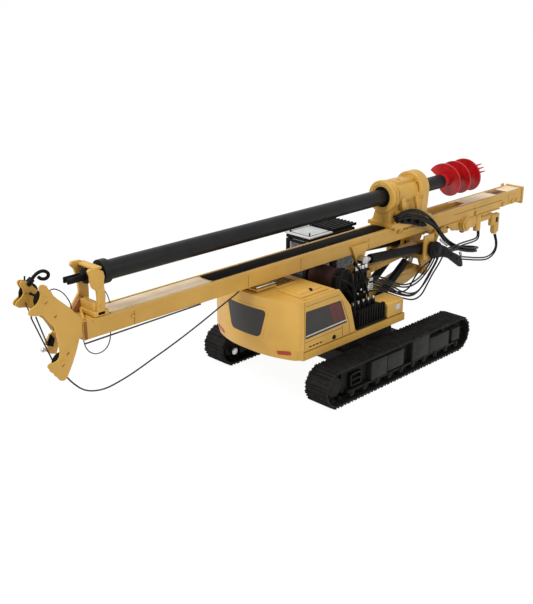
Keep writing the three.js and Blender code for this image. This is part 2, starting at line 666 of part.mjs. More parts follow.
// Two inner cheeks between the boom arms and the mast cylinders, and two outer plates
// that hold the far ends of the mast cylinders' foot pins.
function cradle() {
  const [qx, qz] = UPPER_HEAD;
  const cheek = plateXZ([
    [qx - 2.2, qz - 9.4], ...arc(LOWER_HEAD, 2.2, 165, 330, 6),
    [LOWER_HEAD[0] + 3.6, LOWER_HEAD[1] + 5], [qx + 6.5, qz - 4],
    ...arc(MAST_PIVOT, 2.2, -45, 150, 8), [qx + 1, qz + 3.6], [qx - 5.4, qz + 3.6], [qx - 5.6, qz - 2],
  ], CHEEK_Y[0], CHEEK_Y[1]);
  const web = plateXZ([
    [qx + 2.7, qz - 8], [qx + 4.3, qz - 8], [qx + 4.3, qz], [qx + 2.7, qz],
  ], -CHEEK_Y[1], CHEEK_Y[1]);
  const [bx, bz] = MAST_CYL_FOOT;
  const shelfTop = bz - MAST_CYL_R - 2 * GAP;
  const shelf = box(bx - 5, bx + 4, CHEEK_Y[0] + 0.5, CRADLE_OUTER_Y[1], shelfTop - 2, shelfTop);
  const outer = plateXZ([
    [bx - 5.5, shelfTop - 2], [bx - 5.5, bz + 6.9], [bx + 1.6, bz + 6.9], [bx + 2.4, bz + 2],
    [bx + 6.6, bz - 1], [bx + 6.6, bz - 5.4], [bx + 1, shelfTop - 3],
  ], CRADLE_OUTER_Y[0], CRADLE_OUTER_Y[1]);
  const wide = CRADLE_OUTER_Y[1] + 1;
  const holes = [UPPER_HEAD, LOWER_HEAD, MAST_PIVOT].map((at) => pinHole(at, -wide, wide));
  const footHole = rodY(MAST_CYL_FOOT, -wide, wide, CYL_PIN_R + PIN_PLAY, 16);
  return cut(join(bothSides(join(cheek, shelf, outer)), web), ...holes, footHole);
}

function hoseDisc() {
  const y = CRADLE_OUTER_Y[1] + GAP;
  return rodY(HOSE_DISC, -y - HOSE_DISC_WIDTH, -y, HOSE_DISC_R, 24);
}

// ---------------------------------------------------------------- mast
function mast() {
  const half = MAST_WIDTH / 2;
  const beam = box(MAST_TOP_END, MAST_FOOT_END, -half, half, MAST_BOTTOM, MAST_FACE);
  const groove = box(GROOVE_START, CROWD_LUG[1] + CROWD_TRAVEL + GAP,
    -GROOVE_WIDTH / 2, GROOVE_WIDTH / 2, GROOVE_FLOOR, MAST_FACE + 1);
  const rail = bothSides(box(MAST_TOP_END + 4, MAST_FOOT_END - 6, half - 0.4, half + RAIL,
    MAST_FACE - 1.4, MAST_FACE));
  const [px] = MAST_PIVOT;
  const pivotLug = bothSides(plateXZ([
    [px - 5.5, MAST_BOTTOM + 0.5], ...arc(MAST_PIVOT, 2, 200, 340, 6), [px + 5.5, MAST_BOTTOM + 0.5],
  ], BOSS_WIDTH / 2 - 1.4, BOSS_WIDTH / 2));
  const pivotPin = rodY(MAST_PIVOT, -CHEEK_Y[1], CHEEK_Y[1], PIN_R, 14);
  const [ex, ez] = MAST_CYL_EYE;
  const eyeLug = bothSides(plateXZ([
    [ex - 6, MAST_FACE - 3], [ex - 2.2, ez - 1], ...arc(MAST_CYL_EYE, 2.2, 200, 340, 6),
    [ex + 6, MAST_FACE - 3],
  ], half - 0.6, MAST_CYL_Y - 1.4 - GAP));
  return join(cut(beam, groove), rail, pivotLug, pivotPin, eyeLug);
}

function mastFoot() {
  const half = MAST_WIDTH / 2 + 0.4;
  const start = MAST_FOOT_END + GAP;
  return box(start, start + FOOT_PLATE, -half, half, MAST_BOTTOM - 1.5, MAST_FACE + 0.5);
}

// The near plate carries both sheaves; the far one ends above the lower sheave.
function cathead() {
  const end = MAST_TOP_END - GAP;
  const upper = [
    [end, 58.1], [-143.4, 61.6], [-148.7, 66.5], [-151, 70.5], [-153, 72.3],
    [-154.5, 72.3], [-156.2, 68.6], [CATHEAD_TIP, 65.2], [-158.7, 62.9], [-153.7, 61.6], [-150.5, 56.1],
  ];
  const near = plateXZ([
    ...upper, [-149.6, 48.8], [-149.6, 44.8], [-154.2, 44.1], [-151.5, 40.3], [-150.9, 38.3],
    [-149.1, 37], [-147.5, 37.6], [-145.3, 39.5], [-143.4, 43.3], [end, 47.7],
  ], -CATHEAD_Y[1], -CATHEAD_Y[0]);
  const far = plateXZ([...upper, [end - 4, 54], [end, 49]], CATHEAD_Y[0], CATHEAD_Y[1]);
  const web = box(end - 6, end, -CATHEAD_Y[1] + 0.2, CATHEAD_Y[1] - 0.2, 50, 55);
  const wide = CATHEAD_Y[1] + 1;
  return cut(join(near, far, web), pinHole(SHEAVE_UPPER, -wide, wide),
    pinHole(SHEAVE_LOWER, -wide, wide));
}

// A grooved wheel on its axle, whose right end lies in the near side plate.
function sheave([x, z], radius, y0, y1, axleEnd) {
  const middle = (y0 + y1) / 2;
  const profile = [
    [0, -CATHEAD_Y[1]], [PIN_R, -CATHEAD_Y[1]], [PIN_R, y0], [radius, y0], [radius, y0 + 0.4],
    [radius - 1, middle], [radius, y1 - 0.4], [radius, y1], [PIN_R, y1], [PIN_R, axleEnd], [0, axleEnd],
  ];
  return turned(profile, [x, 0, z], [x, 1, z], 20);
}

function kellySupport() {
  const half = MAST_WIDTH / 2;
  const [x0, x1] = KELLY_SUPPORT;
  const base = box(x0, x1, -half - 0.7, half + 0.7, MAST_FACE + GAP, MAST_FACE + 2);
  const post = bothSides(box(x0 + 1, x1 - 0.5, half - 0.5, half + 0.7, MAST_FACE + 1, KELLY_Z + 2.7));
  const saddle = box(x0 + 2, x1 - 2, -half, half, MAST_FACE + 1, KELLY_Z - KELLY_FLANGE_R - GAP);
  return join(base, post, saddle);
}

function crowdBarrel() {
  const start = GROOVE_START + GAP;
  const length = CROWD_BARREL_END - start;
  const bore = CROWD_ROD_R + 0.35;
  const profile = [[0, 0], [CROWD_R, 0], [CROWD_R, length], [bore, length], [bore, 3], [0, 3]];
  return turned(profile, [start, 0, CROWD_Z], [start + 1, 0, CROWD_Z], 20);
}

function crowdRod() {
  const start = CROWD_BARREL_END - CROWD_TRAVEL - 8;
  return rodX(start, CROWD_LUG[0] - GAP, 0, CROWD_Z, CROWD_ROD_R, 14);
}

// A sliding sole with clamps round the rails, a waisted gear housing between two
// flanges, and an arched end plate whose legs stand on the sole.
function rotaryCarriage() {
  const half = MAST_WIDTH / 2;
  const [x0, x1] = CARRIAGE;
  const face = MAST_FACE + 1;
  const sole = box(x0, x1, -half - SOLE_OVERHANG, half + SOLE_OVERHANG, MAST_FACE + GAP, MAST_FACE + 2);
  const clamps = bothSides(box(x0 + 2, x1 - 2, half + RAIL + GAP, half + SOLE_OVERHANG,
    MAST_FACE - 1, face));
  const crowdLug = box(CROWD_LUG[0], CROWD_LUG[1], -CROWD_R, CROWD_R, GROOVE_FLOOR + GAP, face);
  const neck = box(x0 + 1.5, x1 - ARCH_X[1] + 1, -4.2, 4.2, face, KELLY_Z - 2);
  const housing = rodX(x0 + 4, x1 - ARCH_X[1] + 1, 0, KELLY_Z, ROTARY_R, 28);
  const ring = rodX(x0 + 0.5, x0 + 4.5, 0, KELLY_Z, ROTARY_RING_R, 28);
  const arch = plateYZ([
    [-ARCH_R + 0.8, face], [ARCH_R - 0.8, face], ...arc([0, KELLY_Z + ARCH_RISE], ARCH_R, 0, 180, 20),
  ], x1 - ARCH_X[1], x1 - ARCH_X[0]);
  const foot = plateYZ([[-5.6, face], [5.6, face], [3, KELLY_Z - 3], [-3, KELLY_Z - 3]], x0 + 1, x0 + 4);
  const arch0 = x1 - ARCH_X[1] + 0.2;
  const gusset = bothSides(plateXY([
    [arch0 - 7.5, 3], [arch0, 3], [arch0, ARCH_R - 0.6],
  ], face, KELLY_Z));
  const bore = rodX(x0 - 5, x1 + 5, 0, KELLY_Z, ROTARY_BORE_R, 28);
  return cut(join(sole, clamps, crowdLug, neck, housing, ring, arch, foot, gusset), bore);
}

function kellyOuter() {
  const length = KELLY_END - KELLY_TOP;
  const profile = [
    [KELLY_BORE_R, 0], [KELLY_FLANGE_R, 0], [KELLY_FLANGE_R, 3], [KELLY_R, 3], [KELLY_R, length],
    [KELLY_BORE_R, length], [KELLY_BORE_R, 0],
  ];
  return turned(profile, [KELLY_TOP, 0, KELLY_Z], [0, 0, KELLY_Z], 24);
}

function swivel() {
  const drum = rodX(SWIVEL_START, KELLY_TOP - GAP, 0, KELLY_Z, SWIVEL_R, 20);
  const prongs = bothSides(box(SWIVEL_START - 6, SWIVEL_START + 1, 0.7, 1.7, KELLY_Z - 1.2, KELLY_Z + 1.2));
  return join(drum, prongs);
}

function kellyInner() {
  return join(
    rodX(KELLY_INNER_START, KELLY_END + 4, 0, KELLY_Z, INNER_KELLY_R, 18),
    rodX(KELLY_END + GAP, AUGER_START - GAP, 0, KELLY_Z, STUB_R, 18),
  );
}

// The flight is a flat strip bent round the core, one turn per pitch.
function auger() {
  const steps = Math.round(22 * AUGER_TURNS);
  const inner = AUGER_CORE_R - 0.3;
  const geometry = new THREE.BoxGeometry(1, 1, 1, steps, 1, 1);
  const position = geometry.attributes.position;
  for (let i = 0; i < position.count; i += 1) {
    const share = position.getX(i) + 0.5;
    const radius = inner + (position.getY(i) + 0.5) * (AUGER_R - inner);
    const angle = (AUGER_TWIST + share * AUGER_TURNS) * 2 * Math.PI;
    const x = AUGER_START + BLADE_THICKNESS + share * AUGER_TURNS * AUGER_PITCH
      - position.getZ(i) * BLADE_THICKNESS;
    position.setXYZ(i, x, -radius * Math.sin(angle), KELLY_Z + radius * Math.cos(angle));
  }
  const flightEnd = AUGER_START + AUGER_TURNS * AUGER_PITCH + 1;
  const core = rodX(AUGER_START, flightEnd, 0, KELLY_Z, AUGER_CORE_R, 20);
  const tip = turned([[0, 0], [2, 0], [0, AUGER_TIP - flightEnd]], [flightEnd - 0.1, 0, KELLY_Z],
    [flightEnd + 1, 0, KELLY_Z], 14);
  return join(core, solid(geometry), tip);
}

// ---------------------------------------------------------------- auxiliary winch
function auxFrame() {
  const top = MAST_BOTTOM - GAP;
  const [x, z] = AUX_WINCH;
  const inner = AUX_Y[1] + GAP;
  const half = inner + 1.3;
  const cheek = plateXZ([
    [x - 8, top], [x - 8, z - 1], [x - 5, z - AUX_DRUM_R - 0.6], [x + 5, z - AUX_DRUM_R - 0.6],
    [x + 8, z - 1], [x + 8, top],
  ], inner, half);
  const bed = box(x - 20, x + 31, -half, half, top - 0.8, top);
  const block = box(x - 20, x - 14, -BOSS_WIDTH / 2, BOSS_WIDTH / 2, AUX_BLOCK_Z, top);
  const shortLeg = box(x + 10, x + 13, -half, half, z - 3.6, top);
  const bridge = box(x + 12, x + 26, -half + 1, half - 1, z, top);
  const longLeg = box(x + 25, x + 31, -half, half, z - 9, top);
  return cut(join(bothSides(cheek), bed, block, shortLeg, bridge, longLeg),
    pinHole(AUX_WINCH, -half - 1, half + 1));
}

function auxDrum() {
  const [y0, y1] = AUX_Y;
  return join(
    rodY(AUX_WINCH, y0, y1, AUX_DRUM_R - 1.1, 20),
    rodY(AUX_WINCH, y0, y0 + 0.8, AUX_DRUM_R, 20),
    rodY(AUX_WINCH, y1 - 0.8, y1, AUX_DRUM_R, 20),
    rodY(AUX_WINCH, y0 - 1.5, y1 + 1.5, PIN_R, 12),
  );
}

// ---------------------------------------------------------------- ropes and hoses
// A flexible line through its route's points, with a round section of eight sides.
function line(points, radius, steps) {
  const route = new THREE.CatmullRomCurve3(points.map((p) => new THREE.Vector3(...p)));
  const section = new THREE.Shape(arc([0, 0], radius, 0, 315, 7).map(([a, b]) => new THREE.Vector2(a, b)));
  return solid(new THREE.ExtrudeGeometry(section, { steps, bevelEnabled: false, extrudePath: route }));
}

const hoistRope = () => line([
  [-146.6, -4.9, 37.3], [-145.6, -4.9, 35.9], [-144.1, -4.9, 34.1], [-142.6, -4.8, 32.5],
  [-140.8, -4.8, 31], [-138.8, -4.7, 29.8], [-136.4, -4.6, 28.9], [-133.4, -4.4, 28.2],
  [-129.6, -4.2, 28], [-124.7, -4, 28.6], [-119.8, -3.8, 29.5], [-114.6, -3.6, 30.8],
  [-109, -3.3, 32.3], [-103, -3.1, 33.9], [-96.6, -2.8, 35.7], [-90, -2.5, 37.7],
  [-83, -2.2, 40], [-76.4, -1.9, 42.3], [-70.4, -1.7, 44.4], [-65.4, -1.5, 46.1], [-62, -1.4, 47.9],
], 0.3, 44);

const baseHoses = () => line([
  [4.7, -12.4, 34.2], [7, -12.4, 33.9], [10, -12.4, 33], [14, -12.4, 31.2], [18.5, -12.4, 29.1],
  [23, -12.4, 27.1], [27.5, -12.4, 25.3], [32, -12.4, 24], [36.5, -12.4, 23.4],
  [40.5, -12.4, 24], [44, -12.4, 25.8], [46.8, -12.4, 28.2], [49, -12.4, 30.7],
  [50.8, -12.4, 33.1], [52.2, -12.5, 35],
], 1.3, 18);

const feedHoses = () => line([
  [27.2, -8.6, 60.6], [31, -8.7, 61.6], [35.5, -8.8, 61.8], [40, -8.9, 61.2], [45, -9, 59.6],
  [50, -9.1, 57.2], [54, -9.3, 54.2], [57.4, -9.5, 50.8], [60.4, -9.8, 47.4], [64, -10.1, 43.9],
  [68.6, -10.2, 40.7], [74, -10.3, 38], [80, -10.2, 35.8], [86, -9.9, 34.1], [92, -9.2, 32.7],
  [97, -7.4, 31.6], [98.8, -4.6, 31], [96.6, -2, 31.2], [91.6, -0.8, 31.9], [85, -1.6, 33],
  [79, -4, 34], [73.4, -7.6, 35.4], [68.2, -10.8, 37], [63.6, -12.6, 38.6],
], 0.8, 40);

const auxHoseLong = () => line([
  [118, -4.2, 34.2], [118.6, -4.4, 32.6], [119.2, -4.8, 30.4], [119, -5.2, 28.2],
  [117.6, -5.6, 26.4], [115, -6, 25.1], [111.6, -6.4, 24.5], [107.6, -6.9, 24.6], [103, -7.5, 25.4],
  [98, -8.2, 26.6], [92.6, -9, 28], [87, -9.8, 29.6], [81, -10.7, 31.3], [75, -11.6, 33.1],
  [69, -12.3, 35.2], [63.2, -12.9, 37],
], 0.45, 36);

const auxHoseShort = () => line([
  [101.5, -4.2, 39.5], [101.6, -4.4, 38.2], [101, -4.8, 37], [99.2, -5.4, 36.4], [96.6, -6, 36.5],
  [93, -6.8, 36.9], [89, -7.8, 37.5], [85, -8.8, 38.1], [81, -9.8, 38.7], [77, -10.8, 39.2],
  [73, -11.8, 39.6], [69, -12.6, 39.9], [65, -12.9, 40.1], [62.1, -12.9, 40.2],
], 0.45, 26);

// ---------------------------------------------------------------- assembly
const rig = new THREE.Group();
rig.userData.pivot = new THREE.Vector3(0, 0, 0);

piece(rig, 'car_body', carBody(), darkGrey);
piece(rig, 'swing_ring',
  rodZ(0, 0, DECK_BOTTOM - GAP - SWING_RING_HEIGHT, DECK_BOTTOM - GAP, SWING_RING_R, 32), darkGrey);
for (const [side, word] of [[-1, 'right'], [1, 'left']]) {
  piece(rig, `track_${word}`, onSide(trackBelt(), side), black);
  piece(rig, `track_frame_${word}`, onSide(trackFrame(), side), darkGrey);
  piece(rig, `drive_sprocket_${word}`, onSide(sprocket(), side), darkGrey);
  piece(rig, `idler_wheel_${word}`, onSide(idler(), side), darkGrey);
}

const upper = body(rig, 0, 0, DECK_BOTTOM);
piece(upper, 'main_deck', mainDeck(), yellow);
piece(upper, 'counterweight', counterweight(), yellow);
piece(upper, 'engine_hood', engineHood(), yellow);
for (const [side, word] of [[-1, 'right'], [1, 'left']]) {
  piece(upper, `side_panel_${word}`, onSide(sidePanel(), side), yellow);
}
piece(upper, 'mast_rest', mastRest(), yellow);
piece(upper, 'tool_box', toolBox(), yellow);
piece(upper, 'valve_box', valveBox(), black);
piece(upper, 'hose_column', hoseColumn(), black);
piece(upper, 'main_winch_frame', winchFrame(), black);
piece(upper, 'cab_shell', cabShell(), black);
piece(upper, 'cab_glazing', cabGlazing(), glass);
piece(upper, 'cab_roof', cabRoof(), black);
piece(upper, 'roof_hatch', roofHatch(), lightGrey);
piece(upper, 'roof_guard', roofGuard(), black);
piece(upper, 'operator_seat', seat(), black);
piece(upper, 'control_console', console(), black);
piece(upper, 'base_hoses', baseHoses(), hose);

const winch = body(upper, MAIN_WINCH[0], 0, MAIN_WINCH[1]);
piece(winch, 'main_winch_drum', mainDrum(), rope);

const boom = body(upper, UPPER_FOOT[0], 0, UPPER_FOOT[1]);
piece(boom, 'upper_arm', upperArm(), yellow);
const link = body(upper, LOWER_FOOT[0], 0, LOWER_FOOT[1]);
piece(link, 'lower_arm', lowerArm(), yellow);
const boomBarrels = body(upper, BOOM_CYL_FOOT[0], 0, BOOM_CYL_FOOT[1]);
const boomRods = body(boomBarrels, BOOM_CYL_EYE[0], 0, BOOM_CYL_EYE[1]);
const carrier = body(boom, UPPER_HEAD[0], 0, UPPER_HEAD[1]);
piece(carrier, 'cradle', cradle(), yellow);
piece(carrier, 'hose_disc', hoseDisc(), black);
const mastBarrels = body(carrier, MAST_CYL_FOOT[0], 0, MAST_CYL_FOOT[1]);
const mastRods = body(mastBarrels, MAST_CYL_EYE[0], 0, MAST_CYL_EYE[1]);
for (const [side, word] of [[-1, 'right'], [1, 'left']]) {
  piece(boomBarrels, `boom_cylinder_barrel_${word}`, onSide(boomBarrel(), side), black);
  piece(boomRods, `boom_cylinder_rod_${word}`, onSide(boomRod(), side), silver);
  piece(mastBarrels, `mast_cylinder_barrel_${word}`, onSide(mastBarrel(), side), black);
  piece(mastRods, `mast_cylinder_rod_${word}`, onSide(mastRod(), side), silver);
}

const leader = body(carrier, MAST_PIVOT[0], 0, MAST_PIVOT[1]);
piece(leader, 'mast', mast(), yellow);
piece(leader, 'mast_foot', mastFoot(), yellow);
piece(leader, 'cathead', cathead(), yellow);
piece(leader, 'kelly_support', kellySupport(), yellow);
piece(leader, 'crowd_cylinder_barrel', crowdBarrel(), black);
piece(leader, 'aux_winch_frame', auxFrame(), yellow);
piece(leader, 'hoist_rope', hoistRope(), rope);
piece(leader, 'feed_hoses', feedHoses(), hose);
piece(leader, 'aux_hose_long', auxHoseLong(), hose);
piece(leader, 'aux_hose_short', auxHoseShort(), hose);
const plate = CATHEAD_Y[0] - GAP;
const upperWheel = body(leader, SHEAVE_UPPER[0], 0, SHEAVE_UPPER[1]);
piece(upperWheel, 'cathead_sheave_upper',
  sheave(SHEAVE_UPPER, SHEAVE_R[0], -plate, plate, CATHEAD_Y[1]), black);
const lowerWheel = body(leader, SHEAVE_LOWER[0], 0, SHEAVE_LOWER[1]);
piece(lowerWheel, 'cathead_sheave_lower',
  sheave(SHEAVE_LOWER, SHEAVE_R[1], -plate, -plate + 2.4, -plate + 2.6), black);
const auxSpin = body(leader, AUX_WINCH[0], 0, AUX_WINCH[1]);
piece(auxSpin, 'aux_winch_drum', auxDrum(), rope);

const head = body(leader, CARRIAGE[0], 0, MAST_FACE);
piece(head, 'rotary_head', rotaryCarriage(), yellow);
piece(head, 'crowd_cylinder_rod', crowdRod(), silver);
const kelly = body(head, KELLY_TOP, 0, KELLY_Z);
piece(kelly, 'kelly_outer', kellyOuter(), black);
piece(kelly, 'kelly_swivel', swivel(), black);
const tool = body(kelly, AUGER_START, 0, KELLY_Z);
piece(tool, 'kelly_inner', kellyInner(), darkGrey);
piece(tool, 'auger', auger(), red);

// The box without its loose lines runs from the cathead's tip to the mast foot.
rig.position.x = -(CATHEAD_TIP + MAST_FOOT_END + GAP + FOOT_PLATE) / 2;

export default rig;
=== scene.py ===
"""Looks of a 1:50 die-cast scale model of a rotary piling rig with its mast folded flat.
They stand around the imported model, in its frame."""

import json
import math

import bmesh
import bpy
from mathutils import Matrix, Vector

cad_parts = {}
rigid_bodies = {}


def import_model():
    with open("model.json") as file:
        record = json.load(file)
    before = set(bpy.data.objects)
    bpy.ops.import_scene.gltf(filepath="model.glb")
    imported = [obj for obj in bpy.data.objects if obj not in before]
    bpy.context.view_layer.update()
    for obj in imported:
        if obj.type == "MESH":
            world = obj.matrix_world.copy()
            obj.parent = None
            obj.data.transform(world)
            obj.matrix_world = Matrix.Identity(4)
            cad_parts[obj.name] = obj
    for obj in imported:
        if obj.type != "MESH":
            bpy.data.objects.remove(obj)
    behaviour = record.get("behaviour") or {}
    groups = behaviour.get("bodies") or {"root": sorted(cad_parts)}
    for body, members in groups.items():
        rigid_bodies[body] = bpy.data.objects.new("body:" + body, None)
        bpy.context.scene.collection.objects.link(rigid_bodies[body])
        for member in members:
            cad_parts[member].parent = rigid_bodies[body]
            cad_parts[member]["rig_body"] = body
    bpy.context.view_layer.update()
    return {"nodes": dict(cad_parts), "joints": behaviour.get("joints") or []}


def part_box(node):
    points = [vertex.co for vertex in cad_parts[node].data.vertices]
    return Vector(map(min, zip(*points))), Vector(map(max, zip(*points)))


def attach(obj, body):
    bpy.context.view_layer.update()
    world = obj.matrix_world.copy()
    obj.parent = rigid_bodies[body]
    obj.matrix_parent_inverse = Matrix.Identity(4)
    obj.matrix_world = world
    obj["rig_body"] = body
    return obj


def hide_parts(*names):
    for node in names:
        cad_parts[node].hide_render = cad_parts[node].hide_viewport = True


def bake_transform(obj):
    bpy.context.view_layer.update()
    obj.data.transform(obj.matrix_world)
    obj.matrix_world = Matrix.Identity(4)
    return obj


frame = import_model()

# ------------------------------------------------------------------ place and camera
# Every place is written as on the rig's drawing: millimetres from the point on the
# ground under the slewing centre, +X towards the auger, +Y towards the cab.
# The camera stands low behind the right-hand track and looks along the folded mast.
MM = 0.001
SLEWING_CENTRE = next(j for j in frame["joints"] if j["name"] == "swing")["pos_m"]


def at(x, y, z):
    """A place on the drawing, in the model's own metres."""
    return Vector((SLEWING_CENTRE[0] + x * MM, SLEWING_CENTRE[1] + y * MM, z * MM))


CAMERA_PLACE = Vector((-0.2915, -0.2545, 0.1687))
CAMERA_LOOK = Vector((0.6620, 0.6663, -0.3433))
CAMERA_LENS = 55.27

camera = bpy.data.objects.new("camera", bpy.data.cameras.new("camera"))
bpy.context.scene.collection.objects.link(camera)
camera.location = CAMERA_PLACE
camera.rotation_euler = CAMERA_LOOK.to_track_quat("-Z", "Y").to_euler()
camera.data.lens = CAMERA_LENS
camera.data.clip_start = 0.01
camera.data.clip_end = 10
bpy.context.scene.camera = camera

# ------------------------------------------------------------------ hoist rope
# The slack hoist rope is a twisted grey thread. It is tied to the cathead and hangs in
# a long curve to the underside of the mast, behind the counterweight.
def tint(red, green, blue):
    """A colour on the screen's 0 to 255 scale, as the light's own scale that shaders take."""
    shares = [c / 255 for c in (red, green, blue)]
    return [c / 12.92 if c <= 0.04045 else ((c + 0.055) / 1.055) ** 2.4 for c in shares] + [1.0]


class Reading:
    """A value on its way through a finish's nodes, used in sums as a number is."""

    def __init__(self, finish, socket):
        self.finish = finish
        self.socket = socket

    def sum(self, operation, first, second):
        return self.finish.node("ShaderNodeMath", {"operation": operation}, {0: first, 1: second})

    def __add__(self, other):
        return self.sum("ADD", self, other)

    def __mul__(self, other):
        return self.sum("MULTIPLY", self, other)

    def __truediv__(self, other):
        return self.sum("DIVIDE", self, other)

    __radd__ = __add__
    __rmul__ = __mul__

    def over(self, edge, softness=0.05):
        """0 below the edge and 1 above it, with a soft step between."""
        return self.finish.node(
            "ShaderNodeMapRange",
            {"interpolation_type": "SMOOTHSTEP"},
            {"Value": self, "From Min": edge - softness, "From Max": edge + softness},
        )


COAT_ROUGHNESS = 0.25


class Finish:
    """A paint, plastic or metal of the model, and the slot of the record that it belongs to."""

    def __init__(self, name, slot, roughness=0.5, metallic=0.0, coat=0.0, shine=0.3):
        self.slot = slot
        self.material = bpy.data.materials.new(name)
        self.material.use_nodes = True
        self.tree = self.material.node_tree
        self.shader = self.tree.nodes["Principled BSDF"]
        self.shader.inputs["Roughness"].default_value = roughness
        self.shader.inputs["Metallic"].default_value = metallic
        self.shader.inputs["Coat Weight"].default_value = coat
        self.shader.inputs["Coat Roughness"].default_value = COAT_ROUGHNESS
        self.shader.inputs["Specular IOR Level"].default_value = shine

    def plug(self, socket, value):
        """Links a reading to a socket, or sets the socket to a plain value."""
        if isinstance(value, Reading):
            self.tree.links.new(value.socket, socket)
        else:
            socket.default_value = value

    def node(self, kind, settings=None, inputs=None, output=0):
        """Adds a node, its settings first and then its inputs, and gives the reading of one output."""
        made = self.tree.nodes.new(kind)
        for name, value in (settings or {}).items():
            setattr(made, name, value)
        for name, value in (inputs or {}).items():
            self.plug(made.inputs[name], value)
        return Reading(self, made.outputs[output])

    def place(self, stretch=(1, 1, 1)):
        """Where on the model a point is, in metres, stretched along each axis."""
        where = self.node("ShaderNodeTexCoord", output="Object")
        return self.node("ShaderNodeVectorMath", {"operation": "MULTIPLY"}, {0: where, 1: stretch})

    def noise(self, size, detail=2.0, stretch=(1, 1, 1)):
        """Soft cloud noise, its lumps about size millimetres across."""
        return self.node(
            "ShaderNodeTexNoise",
            inputs={"Vector": self.place(stretch), "Scale": 1 / (size * MM), "Detail": detail},
        )

    def colours(self, first, second, share):
        return self.node(
            "ShaderNodeMix", {"data_type": "RGBA"}, {0: share, 6: first, 7: second}, output=2
        )

    def feed(self, name, value):
        self.plug(self.shader.inputs[name], value)

    def relief(self, height, depth):
        """Presses height, a reading from 0 to 1, into the surface, depth millimetres deep."""
        bump = self.node("ShaderNodeBump", inputs={"Height": height, "Distance": depth * MM})
        self.feed("Normal", bump)


MOTTLE_SOFTNESS = 0.22
GLOSS_GRAIN = 0.16      # how far the fine grain moves the roughness, in all


def coated(
    name, slot, colour, worn, roughness,
    lump=9, grain=0.35, depth=0.012, coat=0.0, metallic=0.0, shine=0.3,
):
    """Sprayed or moulded stuff: slow mottling from colour to worn, and a fine grain in gloss and relief."""
    finish = Finish(name, slot, coat=coat, metallic=metallic, shine=shine)
    mottle = finish.noise(lump, 3)
    fine = finish.noise(grain, 2)
    finish.feed("Base Color", finish.colours(colour, worn, mottle.over(0.5, MOTTLE_SOFTNESS)))
    finish.feed("Roughness", fine * GLOSS_GRAIN + (roughness - GLOSS_GRAIN / 2))
    finish.relief(fine, depth)
    return finish


ROPE_GREY = tint(72, 68, 66)
ROPE_DARK = tint(34, 32, 32)
ROPE_LAY = 1.1          # length of one turn of the twist, millimetres
ROPE_STRANDS = 2

# The twist runs round the thread at a slant, on the length and girth of its own UV map.
thread = Finish("rope_thread", "winch_rope", roughness=0.7)
lay_map = thread.node("ShaderNodeUVMap", {"uv_map": "lay"})
girth = thread.node("ShaderNodeSeparateXYZ", inputs={0: lay_map}, output="X")
run = thread.node("ShaderNodeSeparateXYZ", inputs={0: lay_map}, output="Y")
twist_turn = (girth * ROPE_STRANDS + run / ROPE_LAY) * math.tau
strand = thread.node("ShaderNodeMath", {"operation": "SINE"}, {0: twist_turn}) * 0.5 + 0.5
thread.feed("Base Color", thread.colours(ROPE_DARK, ROPE_GREY, strand))
thread.relief(strand, 0.05)


def smooth_route(points, finish_step=1.5):
    """The points of a route in millimetres, closed up along a smooth curve to finish_step apart."""
    given = [Vector(p) for p in points]
    ends = [given[0] * 2 - given[1]] + given + [given[-1] * 2 - given[-2]]
    route = []
    for a, b, c, d in zip(ends, ends[1:], ends[2:], ends[3:]):
        steps = max(1, round((c - b).length / finish_step))
        for step in range(steps):
            t = step / steps
            route.append(
                b * (1 + t * t * (1.5 * t - 2.5))
                + c * (t * (0.5 + t * (2 - 1.5 * t)))
                + a * (t * (-0.5 + t * (1 - 0.5 * t)))
                + d * (t * t * (0.5 * t - 0.5))
            )
    return [at(*p) for p in route + [given[-1]]]


def run_of(route):
    """The length of a route, in metres."""
    return sum((b - a).length for a, b in zip(route, route[1:]))


def tube(name, route, radius, finish, sides=10):
    """A closed round line along a route, with a map of its girth and of its length in millimetres."""
    bm = bmesh.new()
    lay = bm.loops.layers.uv.new("lay")
    rings = []
    across = None
    for i, point in enumerate(route):
        ahead = (route[min(i + 1, len(route) - 1)] - route[max(i - 1, 0)]).normalized()
        if across is None:
            across = ahead.orthogonal().normalized()
        across = (across - ahead * across.dot(ahead)).normalized()
        turn = Matrix((across, ahead.cross(across), ahead)).transposed().to_4x4()
        circle = bmesh.ops.create_circle(
            bm, segments=sides, radius=radius * MM, matrix=Matrix.Translation(point) @ turn
        )
        rings.append(circle["verts"])
    length = 0.0
    for i, (first, second) in enumerate(zip(rings, rings[1:])):
        next_length = length + (route[i + 1] - route[i]).length / MM
        for k in range(sides):
            m = (k + 1) % sides
            face = bm.faces.new((first[k], first[m], second[m], second[k]))
            corners = ((k, length), (k + 1, length), (k + 1, next_length), (k, next_length))
            for loop, (u, v) in zip(face.loops, corners):
                loop[lay].uv = (u / sides, v)
        length = next_length
    bm.faces.new(list(reversed(rings[0])))
    bm.faces.new(rings[-1])
    return show(bm, name, finish)


SHARP_TURN = 35         # degrees; flatter edges are shaded soft


def show(bm, name, finish):
    """Makes the built mesh an object in its place, with its finish and its soft shading."""
    mesh = bpy.data.meshes.new(name)
    bm.to_mesh(mesh)
    bm.free()
    mesh.materials.append(finish.material)
    mesh.shade_smooth()
    mesh.set_sharp_from_angle(angle=math.radians(SHARP_TURN))
    piece = bpy.data.objects.new(name, mesh)
    bpy.context.scene.collection.objects.link(piece)
    return piece


